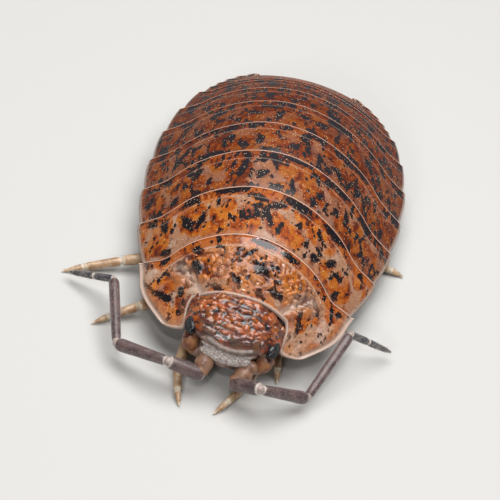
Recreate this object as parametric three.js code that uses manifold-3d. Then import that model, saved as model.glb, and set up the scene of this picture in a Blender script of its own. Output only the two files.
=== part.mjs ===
// A pill woodlouse at life size, standing on its fourteen legs with its feelers spread, as a still model.
// Millimetres, +Z up. The head faces -Y, the animal's left side is +X, and the feet stand on Z = 0.
import * as THREE from "three";
import { mergeVertices } from "three/addons/utils/BufferGeometryUtils.js";
import Module from "manifold-3d";

const wasm = await Module();
wasm.setup();

// Driving dimensions of the body
const GAP = 0.22; // clearance between neighbouring pieces
const EDGE_HEIGHT = 1.05; // lower edge of the shell's outer face above the floor
const BACK_HEIGHT = 4.62; // highest point of the back
const HALF_WIDTH = 4.64; // widest half of the shell, at the fourth segment
const WIDEST_Y = 0.6;
const FRONT_OVAL = { length: 9.4, power: 1.9 }; // the outline ahead of the widest place
const REAR_OVAL = { length: 7.1, power: 2.2 }; // and behind it
const CREST_Y = -1.1; // where the back is highest
const BACK_FALL = 8.6; // from the crest to where the back would meet the edge
const BELLY_HEIGHT = 1.75;
const BELLY_HALF = 0.55; // share of the half width that the flat belly takes
const SKIRT = 0.74; // outside this share the shell is a thin side plate
const PLATE = 0.3; // thickness of a side plate
const LIP = 0.22; // thickness of a plate's hind edge
const LAP = 0.5; // how far a hind edge reaches over the next plate
const RISE = 0.08; // how far a hind edge stands above the next plate

// Hind edges of the seven thoracic plates on the midline, and where the first one starts
const HIND_EDGES = [-4.95, -3.08, -1.3, 0.42, 2.15, 3.65, 4.95];
const NECK_Y = -6.95;
const PLEON_END = 6.55;
const TAIL_END = 7.45;

// How those edges bend over the back, by the share across the shell from the midline to the side
const HIND_NOTCH = { share: 0.8, width: 0.12, depth: 0.16 }; // drawn forwards on the flank
const HIND_CORNER = { reach: 0.24, power: 12 }; // and back at the corner
const NECK_BOW = { width: 0.35, reach: 0.1 }; // the neck bows forwards on the midline
const LOBE = { inner: 0.6, width: 0.24, reach: 0.75, corner: 0.84, rounding: 0.5 }; // beside the head
const FLARE = { y: -6.2, length: 1.0, out: 0.26 }; // the first plate's sides stand out here

// Head
const HEAD_CENTRE = new THREE.Vector3(0, -8.01, 1.74);
const HEAD_HALF = new THREE.Vector3(1.66, 0.72, 0.78);
const HEAD_SQUARE = 2.7; // 2 is round and more is squarer
const HEAD_NECK = 0.82; // share of its width that the head keeps at the neck
const HEAD_RISE = 0.42; // slope of its top towards the neck
const CHIN_RECEDE = 0.5;
const BROW = { y: -8.72, z: 2.02, half: 0.86, back: 0.08, up: 0.1, thick: 0.12 }; // ridge across the face
const SHIELD = { place: [0, -8.28, 1.43], half: [0.42, 0.26, 0.36] }; // under the brow
const CHEEKS = [
  { place: [1.24, -8.1, 1.42], half: [0.4, 0.28, 0.34] },
  { place: [1.02, -8.02, 1.06], half: [0.42, 0.3, 0.22] },
];
const EYE = { x: 1.43, y: -8.14, z: 2.06, long: 0.36, wide: 0.22, deep: 0.22, yaw: 0.2, roll: 0.5 };
const EYE_GAP = 0.15; // clearance round an eye in its socket
const LENS = { radius: 0.075, step: 0.135, sunk: 0.92 };
const LENS_ROWS = [
  { height: -0.14, count: 4 },
  { height: 0, count: 5 },
  { height: 0.14, count: 4 },
];

// Feelers, as the places of their joints: socket, end of the second to fifth articles, and tip
const FEELERS = {
  left: [
    [0.79, -8.58, 1.2],
    [0.5, -9.02, 0.86],
    [1.38, -9.47, 1.35],
    [2.95, -8.43, 0.46],
    [3.86, -5.88, 1.46],
    [5.4, -5.05, 0.34],
  ],
  right: [
    [-0.65, -8.58, 1.31],
    [-0.74, -9.0, 0.89],
    [-1.83, -9.2, 1.27],
    [-3.73, -8.46, 0.75],
    [-4.5, -5.72, 1.04],
    [-6.16, -5.2, 0.34],
  ],
};
const FEELER_RADII = { base: 0.24, fourth: 0.26, fifth: 0.25, lash: 0.22, tip: 0.1 };

// Feet on the floor, from the first pair to the seventh
const FEET = {
  left: [
    [0.05, -9.87],
    [1.85, -7.7],
    [3.75, -4.3],
    [5.23, -0.75],
    [4.45, 1.9],
    [4.3, 4.1],
    [3.4, 6.2],
  ],
  right: [
    [-1.12, -9.91],
    [-4.84, -7.11],
    [-6.44, -4.97],
    [-4.5, -0.9],
    [-4.5, 1.6],
    [-4.15, 4.3],
    [-3.5, 6.1],
  ],
};
const LEG_RADII = [0.27, 0.27, 0.24, 0.22, 0.16, 0.11]; // from the hip to the foot
const MOST_MITRE = 1.5; // a sharp turn's ring is drawn out no further than this

const COLOURS = {
  shell: { color: 0x9a4f22, roughness: 0.42, metalness: 0 },
  head: { color: 0x8a4220, roughness: 0.4, metalness: 0 },
  eye: { color: 0x0c0c0e, roughness: 0.2, metalness: 0 },
  feeler: { color: 0x574a4a, roughness: 0.6, metalness: 0 },
  leg: { color: 0xb99a72, roughness: 0.5, metalness: 0 },
  underside: { color: 0xa08a70, roughness: 0.5, metalness: 0 },
};

const SIDES = [
  ["left", 1],
  ["right", -1],
];
const woodlouse = new THREE.Group();

function addNode(name, geometry, finish) {
  const mesh = new THREE.Mesh(geometry, new THREE.MeshStandardMaterial(COLOURS[finish]));
  mesh.name = name;
  woodlouse.add(mesh);
}

const clamp01 = (v) => Math.min(1, Math.max(0, v));
const mix = (a, b, t) => a + (b - a) * t;
const smooth = (v) => clamp01(v) ** 2 * (3 - 2 * clamp01(v));

// Moves every vertex of a closed geometry by a function of its place.
function reshape(geometry, move) {
  const bare = geometry.clone();
  bare.deleteAttribute("normal");
  bare.deleteAttribute("uv");
  const merged = mergeVertices(bare, 1e-5);
  const place = merged.attributes.position;
  const from = new THREE.Vector3();
  for (let i = 0; i < place.count; i++) {
    const to = move(from.fromBufferAttribute(place, i));
    place.setXYZ(i, to.x, to.y, to.z);
  }
  merged.computeVertexNormals();
  return merged;
}

// Turns the faces of a mirrored piece outwards again.
function facing(side, geometry) {
  if (side > 0) return geometry;
  const corners = geometry.index.array;
  for (let i = 0; i < corners.length; i += 3) {
    const first = corners[i];
    corners[i] = corners[i + 1];
    corners[i + 1] = first;
  }
  geometry.computeVertexNormals();
  return geometry;
}

function toSolid(geometry) {
  const bare = geometry.clone();
  bare.deleteAttribute("normal");
  bare.deleteAttribute("uv");
  const merged = mergeVertices(bare, 1e-5);
  return new wasm.Manifold(
    new wasm.Mesh({
      numProp: 3,
      vertProperties: new Float32Array(merged.attributes.position.array),
      triVerts: new Uint32Array(merged.index.array),
    }),
  );
}

function toGeometry(solid) {
  const largest = solid.decompose().sort((a, b) => b.volume() - a.volume())[0];
  const mesh = largest.getMesh();
  const geometry = new THREE.BufferGeometry();
  geometry.setAttribute("position", new THREE.BufferAttribute(new Float32Array(mesh.vertProperties), 3));
  geometry.setIndex(new THREE.BufferAttribute(new Uint32Array(mesh.triVerts), 1));
  geometry.computeVertexNormals();
  return geometry;
}

const join = (geometries) => geometries.map(toSolid).reduce((a, b) => a.add(b));

// Shell of the body
// A place on the shell is given by a share across it, -1 to 1, and by y along it.
function halfWidth(y) {
  const oval = y < WIDEST_Y ? FRONT_OVAL : REAR_OVAL;
  const along = Math.abs((y - WIDEST_Y) / oval.length);
  return HALF_WIDTH * clamp01(1 - along ** oval.power) ** (1 / oval.power);
}

function crownHeight(y) {
  return (BACK_HEIGHT - EDGE_HEIGHT) * clamp01(1 - ((y - CREST_Y) / BACK_FALL) ** 2);
}

// A point at a depth under the shell's surface, square to it.
function shellPoint(across, y, depth) {
  const wide = halfWidth(y);
  const high = crownHeight(y);
  const inward = new THREE.Vector2(-2 * high * across, -wide).normalize();
  return new THREE.Vector3(
    wide * across + inward.x * depth,
    y,
    EDGE_HEIGHT + high * (1 - across * across) + inward.y * depth,
  );
}

// The underside of a body segment: a flat belly, a flank rising from it, then thin side plates.
function undersidePoint(across, y) {
  const share = Math.abs(across);
  const side = Math.sign(across);
  if (share >= SKIRT) return shellPoint(across, y, PLATE);
  const belly = Math.min(BELLY_HEIGHT, shellPoint(BELLY_HALF, y, PLATE).z);
  if (share <= BELLY_HALF) return new THREE.Vector3(halfWidth(y) * across, y, belly);
  const skirt = shellPoint(SKIRT, y, PLATE);
  const t = (share - BELLY_HALF) / (SKIRT - BELLY_HALF);
  return new THREE.Vector3(side * mix(halfWidth(y) * BELLY_HALF, skirt.x, t), y, mix(belly, skirt.z, t));
}

// Hind edge of thoracic plate n: almost straight, drawn forwards on the flank and back at the corner.
function hindEdge(n, across) {
  const share = Math.abs(across);
  const notch = HIND_NOTCH.depth * Math.exp(-(((share - HIND_NOTCH.share) / HIND_NOTCH.width) ** 2));
  return HIND_EDGES[n] - notch + HIND_CORNER.reach * share ** HIND_CORNER.power;
}

// Front edge of the first plate: bowed a little behind the head, with a rounded lobe on each side of it.
function collarEdge(across) {
  const share = Math.abs(across);
  const bow = NECK_BOW.reach * Math.exp(-((share / NECK_BOW.width) ** 2));
  const lobe = LOBE.reach * smooth((share - LOBE.inner) / LOBE.width);
  const corner = clamp01((share - LOBE.corner) / (1 - LOBE.corner));
  return NECK_Y - bow - lobe + LOBE.rounding * (1 - Math.sqrt(1 - corner ** 2));
}

// How far out a place on the first plate is moved, most at the plate's sides.
function flare(across, y) {
  const out = smooth((Math.abs(across) - LOBE.inner) / (1 - LOBE.inner));
  return Math.sign(across) * FLARE.out * out * Math.exp(-(((y - FLARE.y) / FLARE.length) ** 2));
}

const ACROSS = 22; // faces across a plate
const ALONG = 3; // faces along a plate
const LAYERS = 3; // faces down a plate's front and hind ends
const THINNING = { share: 0.5, width: 0.2 }; // where a segment thins out to its side plates
const SKIRT_LAP = 0.02;

// One thoracic segment with its plate: a box bent to the shell, whose hind edge laps over the next one.
function thoracicSegment(n) {
  const box = new THREE.BoxGeometry(2, 1, 1, ACROSS, ALONG, LAYERS);
  return reshape(box, ({ x: across, y, z }) => {
    const t = y + 0.5;
    const layer = Math.round((0.5 - z) * LAYERS);
    const thin = smooth((Math.abs(across) - THINNING.share) / THINNING.width);
    const lap = mix(LAP, SKIRT_LAP, thin);
    const first = n === 0;
    const front = first ? collarEdge(across) : hindEdge(n - 1, across) + GAP;
    const frontLap = first ? 0 : lap;
    const frontAt = [front, front, front - frontLap, front - frontLap];
    const upper = mix(LIP - RISE, PLATE / 3, thin);
    const lower = mix(LIP, (2 * PLATE) / 3, thin);
    const clear = mix(GAP, 0, thin);
    const frontDepth = [first ? 0 : RISE, upper + clear, lower + clear];
    const hind = hindEdge(n, across);
    const hindAt = [hind, hind, hind - lap, hind - lap];
    const hindDepth = [-RISE, upper, lower];
    const place = mix(frontAt[layer], hindAt[layer], t);
    const depth = mix(frontDepth[layer], hindDepth[layer], t ** 2);
    const point = layer === LAYERS ? undersidePoint(across, place) : shellPoint(across, place, depth);
    if (first) point.x += flare(across, place);
    return point;
  });
}

HIND_EDGES.forEach((edge, n) => addNode(`thorax_plate_${n + 1}`, thoracicSegment(n), "shell"));

// Abdomen: five short plates in one piece, each stepping down to the next, the side lobes swept back
const PLEON_PLATES = 5;
const PLEON_START = HIND_EDGES[6] + GAP;
const PLEON_SWEEP = 0.55;
const PLEON_STEP = (PLEON_END - PLEON_START) / PLEON_PLATES;
const PLEON_FLANK = { share: 0.66, width: 0.2 }; // where the side lobes sweep back
const PLEON_TREAD = 0.84; // share of a short plate ahead of its step
const PLEON_DEPTH = 0.9;

function pleon() {
  const along = PLEON_PLATES * 2;
  const box = new THREE.BoxGeometry(2, 1, 1, ACROSS, along, 1);
  return reshape(box, ({ x: across, y, z }) => {
    const index = Math.round((y + 0.5) * along);
    const hindEdgeRow = index % 2 === 1 || index === along;
    const share = Math.abs(across);
    const start = hindEdge(6, across) - HIND_EDGES[6];
    const sweep = PLEON_SWEEP * smooth((share - PLEON_FLANK.share) / PLEON_FLANK.width);
    const row = PLEON_STEP * (Math.floor(index / 2) + (index % 2 ? PLEON_TREAD : 0));
    const place = PLEON_START + row + mix(start, sweep, index / along);
    if (z > 0) return shellPoint(across, place, hindEdgeRow ? -RISE : RISE);
    const roof = shellPoint(across, place, PLATE);
    if (share < SKIRT) roof.z = Math.max(roof.z - PLEON_DEPTH, Math.min(roof.z, BELLY_HEIGHT));
    return roof;
  });
}

addNode("abdomen", pleon(), "shell");

// Tail plate and tail limbs: a blunt triangle between two short flaps closes the oval of the body
const TAIL = { rootHalf: 1.0, tipHalf: 0.55, tipRise: 0.14, camber: 0.18, thick: 0.42 };
const FLAP = { rootWide: 0.34, tipWide: 0.46, rootRise: 0.28, tipRise: 0.02, slant: 0.1 };
const FLAP_CLEAR = { side: 0.06, root: 0.12, tip: 0.08 }; // beyond the usual gap, and short of the tail's end

const tailHalf = (t) => mix(TAIL.rootHalf, TAIL.tipHalf, t ** 0.8);

function tailPlate() {
  const box = new THREE.BoxGeometry(2, 1, 1, 8, 3, 1);
  return reshape(box, ({ x: across, y, z }) => {
    const t = y + 0.5;
    const place = mix(PLEON_END + GAP, TAIL_END, t);
    const ridge = EDGE_HEIGHT + mix(crownHeight(PLEON_END), TAIL.tipRise, t);
    const top = ridge - TAIL.camber * across * across;
    return new THREE.Vector3(tailHalf(t) * across, place, z > 0 ? top : top - TAIL.thick);
  });
}

function tailLimb(side) {
  const box = new THREE.BoxGeometry(1, 1, 1, 2, 2, 1);
  return reshape(box, ({ x, y, z }) => {
    const t = y + 0.5;
    const inner = tailHalf(t) + GAP + FLAP_CLEAR.side;
    const out = inner + mix(FLAP.rootWide, FLAP.tipWide, t) * (x + 0.5);
    const place = mix(PLEON_END + GAP + FLAP_CLEAR.root, TAIL_END - FLAP_CLEAR.tip, t);
    const top = EDGE_HEIGHT + mix(FLAP.rootRise, FLAP.tipRise, t);
    return new THREE.Vector3(side * out, place - FLAP.slant * (x + 0.5) * t, z > 0 ? top : top - TAIL.thick);
  });
}

addNode("tail_plate", tailPlate(), "shell");
for (const [name, side] of SIDES) addNode(`tail_limb_${name}`, facing(side, tailLimb(side)), "shell");

// Gill plates: five broad flaps under the abdomen, each lying under the one before
const GILL = { start: 0.2, tread: 0.8, half: 1.75, taper: 0.12, thick: 0.34, step: 0.12, clear: 0.1 };

function gillPlates() {
  const box = new THREE.BoxGeometry(2, 1, 1, 8, PLEON_PLATES * 2, 1);
  return reshape(box, ({ x: across, y, z }) => {
    const index = Math.round((y + 0.5) * PLEON_PLATES * 2);
    const row = PLEON_STEP * (Math.floor(index / 2) + (index % 2 ? GILL.tread : 0));
    const place = PLEON_START + GILL.start + row;
    const flap = index % 2 ? GILL.step : 0;
    const belly = EDGE_HEIGHT + Math.max(crownHeight(place) - PLATE - PLEON_DEPTH, 0);
    const roof = belly - GAP - GILL.clear;
    const half = GILL.half - GILL.taper * (place - PLEON_START);
    return new THREE.Vector3(half * across, place, z > 0 ? roof : roof - GILL.thick - flap);
  });
}

const SEAM = new THREE.Vector3(0.31, 0.17, 0.93); // a limb's seam starts this way, along no limb

// A limb: a tube through stops, each a place and a radius, mitred where it turns. Its first ring lies flat
// under what it grows from, and its last flat on the floor, where these axes are given.
function limb(stops, { startAxis, endAxis, sides = 10 } = {}) {
  const last = stops.length - 1;
  const places = stops.map((stop) => new THREE.Vector3(...stop.place));
  const heading = (i) => places[i + 1].clone().sub(places[i]).normalize();
  const rings = places.map((place, i) => {
    const before = i === 0 ? startAxis || heading(0) : heading(i - 1);
    const after = i === last ? endAxis || heading(last - 1) : heading(i);
    if (i === 0) return { axis: before, turn: null };
    if (i === last) return { axis: after, turn: null };
    const axis = before.clone().add(after).normalize();
    const turn = after.clone().sub(before);
    const stretch = Math.min(MOST_MITRE, 1 / axis.dot(after)) - 1;
    return { axis, turn: turn.length() < 0.01 ? null : turn.normalize(), stretch };
  });
  let normal = SEAM.clone().projectOnPlane(rings[0].axis).normalize();
  for (const ring of rings) {
    normal = normal.clone().projectOnPlane(ring.axis).normalize();
    ring.normal = normal;
    ring.binormal = normal.clone().cross(ring.axis);
  }
  const tube = new THREE.CylinderGeometry(1, 1, last, sides, last);
  return reshape(tube, ({ x, y, z }) => {
    const i = Math.round(last / 2 - y);
    const { normal: n, binormal: b, turn, stretch } = rings[i];
    const out = b.clone().multiplyScalar(x).addScaledVector(n, z).multiplyScalar(stops[i].radius);
    if (turn) out.addScaledVector(turn, out.dot(turn) * stretch);
    return places[i].clone().add(out);
  });
}

// Legs: a thigh under the belly, turned in, then four lengths reaching out to the foot
const DOWN = new THREE.Vector3(0, 0, -1);
const HIP_SHARE = 0.42;
const KNEE_SHARE = 0.27;
const LEG_LEVELS = { knee: 0.98, merus: 0.56, carpus: 0.4, propodus: 0.22 }; // heights of the joints
const KNEE_AHEAD = 0.25; // a knee lies this far ahead of its hip
const FIRST_HIP = 0.6; // the first segment's legs grow this far behind the neck, and on
const FIRST_BOW = 0.55; // the first legs curve out round the mouth before they reach forward
const LEG_REACH = { merus: 0.36, carpus: 0.63, propodus: 0.86 }; // shares of the way from knee to foot

function legJoints(n, side, foot) {
  const start = n === 0 ? NECK_Y + FIRST_HIP : HIND_EDGES[n - 1];
  const y = (start + HIND_EDGES[n]) / 2;
  const hip = [side * HIP_SHARE * halfWidth(y), y, BELLY_HEIGHT - GAP];
  const knee = [side * KNEE_SHARE * halfWidth(y), y - KNEE_AHEAD, LEG_LEVELS.knee];
  const bow = n === 0 ? side * FIRST_BOW : 0;
  const between = (share, level) => [
    mix(knee[0], foot[0], share) + bow * Math.sin(Math.PI * share),
    mix(knee[1], foot[1], share),
    level,
  ];
  return [
    hip,
    knee,
    between(LEG_REACH.merus, LEG_LEVELS.merus),
    between(LEG_REACH.carpus, LEG_LEVELS.carpus),
    between(LEG_REACH.propodus, LEG_LEVELS.propodus),
    [...foot, 0],
  ];
}

function leg(n, side, foot) {
  const stops = legJoints(n, side, foot).map((place, i) => ({ place, radius: LEG_RADII[i] }));
  return limb(stops, { startAxis: DOWN, endAxis: DOWN });
}

for (const [name, side] of SIDES) {
  FEET[name].forEach((foot, n) => addNode(`leg_${name}_${n + 1}`, leg(n, side, foot), "leg"));
}

// Head: a rounded block, its top rising to the neck and its face falling below the brow
function headBlock() {
  const ball = new THREE.SphereGeometry(1, 28, 18).rotateX(Math.PI / 2);
  return reshape(ball, (p) => {
    const powers = Math.abs(p.x) ** HEAD_SQUARE + Math.abs(p.y) ** HEAD_SQUARE + Math.abs(p.z) ** HEAD_SQUARE;
    const block = p.clone().divideScalar(powers ** (1 / HEAD_SQUARE));
    const { x: across, y: behind, z: up } = block;
    const place = block.multiply(HEAD_HALF);
    const slope = HEAD_RISE * Math.max(0, up) * (place.y + HEAD_HALF.y);
    place.z += slope * (1 - 0.5 * across ** 2);
    place.x *= mix(1, HEAD_NECK, smooth((place.y + 0.1) / 0.5));
    if (up < 0.4) place.y += CHIN_RECEDE * smooth(0.6 - 1.56 * up) * smooth(-behind);
    return place.add(HEAD_CENTRE);
  });
}

function lump({ place, half }, side = 1) {
  const [x, y, z] = place;
  return new THREE.SphereGeometry(1, 12, 8).scale(...half).translate(side * x, y, z);
}

// The brow bows back and up towards its ends.
function brow() {
  const stops = [];
  const count = 12;
  for (let i = 0; i <= count; i++) {
    const share = (2 * i) / count - 1;
    const place = [share * BROW.half, BROW.y + BROW.back * share ** 2, BROW.z + BROW.up * share ** 2];
    stops.push({ place, radius: BROW.thick * (1 - 0.3 * share ** 4) });
  }
  return limb(stops, { sides: 8 });
}

const setEye = (geometry, side) =>
  geometry
    .rotateZ(-side * EYE.yaw)
    .rotateY(-side * EYE.roll)
    .translate(side * EYE.x, EYE.y, EYE.z);

function eyeBall(side, swell) {
  const ball = new THREE.SphereGeometry(1, 12, 8);
  return setEye(ball.scale(EYE.deep + swell, EYE.long + swell, EYE.wide + swell), side);
}

function head() {
  const cheeks = SIDES.flatMap(([, side]) => CHEEKS.map((cheek) => lump(cheek, side)));
  const whole = join([headBlock(), brow(), lump(SHIELD), ...cheeks]);
  const sockets = join(SIDES.map(([, side]) => eyeBall(side, EYE_GAP)));
  return toGeometry(whole.subtract(sockets));
}

addNode("head", head(), "head");

// Eyes: an oval mound of round lenses in rows
function eye(side) {
  const pieces = [eyeBall(side, 0)];
  for (const { height, count } of LENS_ROWS) {
    for (let i = 0; i < count; i++) {
      const along = (i - (count - 1) / 2) * LENS.step;
      const out = Math.sqrt(1 - (along / EYE.long) ** 2 - (height / EYE.wide) ** 2);
      const lens = new THREE.IcosahedronGeometry(LENS.radius, 0);
      lens.translate(side * EYE.deep * out * LENS.sunk, along, height);
      pieces.push(setEye(lens, side));
    }
  }
  return toGeometry(join(pieces));
}

for (const [name, side] of SIDES) addNode(`eye_${name}`, eye(side), "eye");

// Mouthparts: two pairs of plates closed over the mouth
const PALP = { place: [0.27, -7.7, 0.64], half: [0.32, 0.5, 0.16] };
const LOWER_LIP = { place: [0, -7.6, 0.6], half: [0.3, 0.4, 0.14] };

function mouthparts() {
  const palps = SIDES.map(([, side]) => lump(PALP, side));
  return toGeometry(join([...palps, lump(LOWER_LIP)]));
}

addNode("mouthparts", mouthparts(), "underside");
addNode("gill_plates", gillPlates(), "underside");

// Feelers: a short base of three articles, two long articles, and a lash of two that ends in a fine tip
const FEELER_JOINT = 0.34; // from a joint to where the next length starts
const FEELER_BACK = 0.1; // from where a length ends to the joint
const LASH_WAIST = 0.42; // share of the lash that its first article takes

// Radii along a length, each at its share of the way
const rod = (radius) => [
  [0, radius * 0.8],
  [0.12, radius],
  [0.88, radius],
  [1, radius * 0.85],
];
const whip = (radius, tip) => [
  [0, radius * 0.8],
  [0.08, radius],
  [LASH_WAIST - 0.04, radius],
  [LASH_WAIST, radius * 0.72],
  [LASH_WAIST + 0.06, radius * 0.9],
  [0.85, radius * 0.65],
  [1, tip],
];

function feelerLength(from, to, radii) {
  const start = new THREE.Vector3(...from);
  const end = new THREE.Vector3(...to);
  const along = end.clone().sub(start).normalize();
  start.addScaledVector(along, FEELER_JOINT);
  end.addScaledVector(along, -FEELER_BACK);
  return limb(radii.map(([share, radius]) => ({ place: start.clone().lerp(end, share), radius })));
}

for (const [name] of SIDES) {
  const [socket, second, third, fourth, fifth, tip] = FEELERS[name];
  const base = [socket, second, third].map((place) => ({ place, radius: FEELER_RADII.base }));
  const lash = whip(FEELER_RADII.lash, FEELER_RADII.tip);
  addNode(`feeler_${name}_base`, limb(base), "feeler");
  addNode(`feeler_${name}_fourth`, feelerLength(third, fourth, rod(FEELER_RADII.fourth)), "feeler");
  addNode(`feeler_${name}_fifth`, feelerLength(fourth, fifth, rod(FEELER_RADII.fifth)), "feeler");
  addNode(`feeler_${name}_lash`, feelerLength(fifth, tip, lash), "feeler");
}

// The origin is on the floor under the middle of the whole animal.
const box = new THREE.Box3().setFromObject(woodlouse);
const middle = box.getCenter(new THREE.Vector3());
woodlouse.position.set(-middle.x, -middle.y, 0);

export default woodlouse;
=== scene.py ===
# The looks of a pill woodlouse at life size: its shell plates, head, feelers, legs and underside.
# Shapes are worked out in millimetres on the body's own lines, then set in the row frame in metres.
import math
import random

import bmesh
import bpy
from mathutils import Matrix, Vector, noise


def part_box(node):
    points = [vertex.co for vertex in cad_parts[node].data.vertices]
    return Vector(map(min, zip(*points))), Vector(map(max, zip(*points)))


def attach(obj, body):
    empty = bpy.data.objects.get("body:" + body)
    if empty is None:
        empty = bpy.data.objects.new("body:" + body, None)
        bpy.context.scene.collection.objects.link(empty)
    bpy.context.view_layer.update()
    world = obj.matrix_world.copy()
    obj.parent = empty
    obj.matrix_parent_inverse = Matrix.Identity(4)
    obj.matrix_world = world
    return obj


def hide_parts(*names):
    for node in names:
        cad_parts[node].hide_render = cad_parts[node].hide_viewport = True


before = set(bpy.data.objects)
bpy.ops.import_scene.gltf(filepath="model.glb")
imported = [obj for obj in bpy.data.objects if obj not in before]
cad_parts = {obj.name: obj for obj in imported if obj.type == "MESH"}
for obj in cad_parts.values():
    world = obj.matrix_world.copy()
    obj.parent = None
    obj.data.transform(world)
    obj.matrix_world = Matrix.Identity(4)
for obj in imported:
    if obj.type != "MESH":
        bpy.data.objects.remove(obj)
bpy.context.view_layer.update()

MM = 0.001
SEED = 7
draw = random.Random(SEED)
noise.seed_set(SEED)

# The body's driving dimensions, in millimetres, as in the solids
EDGE_HEIGHT = 1.05
BACK_HEIGHT = 4.62
HALF_WIDTH = 4.64
WIDEST_Y = 0.6
FRONT_OVAL = (9.4, 1.9)
REAR_OVAL = (7.1, 2.2)
CREST_Y = -1.1
BACK_FALL = 8.6
BELLY_HEIGHT = 1.75
HIND_EDGES = [-4.95, -3.08, -1.3, 0.42, 2.15, 3.65, 4.95]
HIND_NOTCH = {"share": 0.8, "width": 0.12, "reach": 0.16}  # each plate's hind edge bends forward here
HIND_CORNER = {"power": 12, "reach": 0.24}
NECK_Y = -6.95
NECK_BOW = {"width": 0.35, "reach": 0.1}
LOBE = {"inner": 0.6, "width": 0.24, "reach": 0.75, "corner": 0.84, "rounding": 0.5}
FLARE = {"y": -6.2, "length": 1.0, "inner": 0.6, "out": 0.26}
PLEON_END = 6.55
TAIL_END = 7.45
LAP = 0.5
EYE = {"x": 1.42, "y": -8.14, "z": 2.04, "long": 0.36, "wide": 0.19, "deep": 0.2, "yaw": 0.2, "roll": 0.5}
SIDES = (("left", 1), ("right", -1))

FEELERS = {
    "left": [
        (0.79, -8.58, 1.2),
        (0.5, -9.02, 0.86),
        (1.38, -9.47, 1.35),
        (2.95, -8.43, 0.46),
        (3.86, -5.88, 1.46),
        (5.4, -5.05, 0.34),
    ],
    "right": [
        (-0.65, -8.58, 1.31),
        (-0.74, -9.0, 0.89),
        (-1.83, -9.2, 1.27),
        (-3.73, -8.46, 0.75),
        (-4.5, -5.72, 1.04),
        (-6.16, -5.2, 0.34),
    ],
}
FEET = {
    "left": [
        (0.05, -9.87),
        (1.85, -7.7),
        (3.75, -4.3),
        (5.23, -0.75),
        (4.45, 1.9),
        (4.3, 4.1),
        (3.4, 6.2),
    ],
    "right": [
        (-1.12, -9.91),
        (-4.84, -7.11),
        (-6.44, -4.97),
        (-4.5, -0.9),
        (-4.5, 1.6),
        (-4.15, 4.3),
        (-3.5, 6.1),
    ],
}

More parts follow.
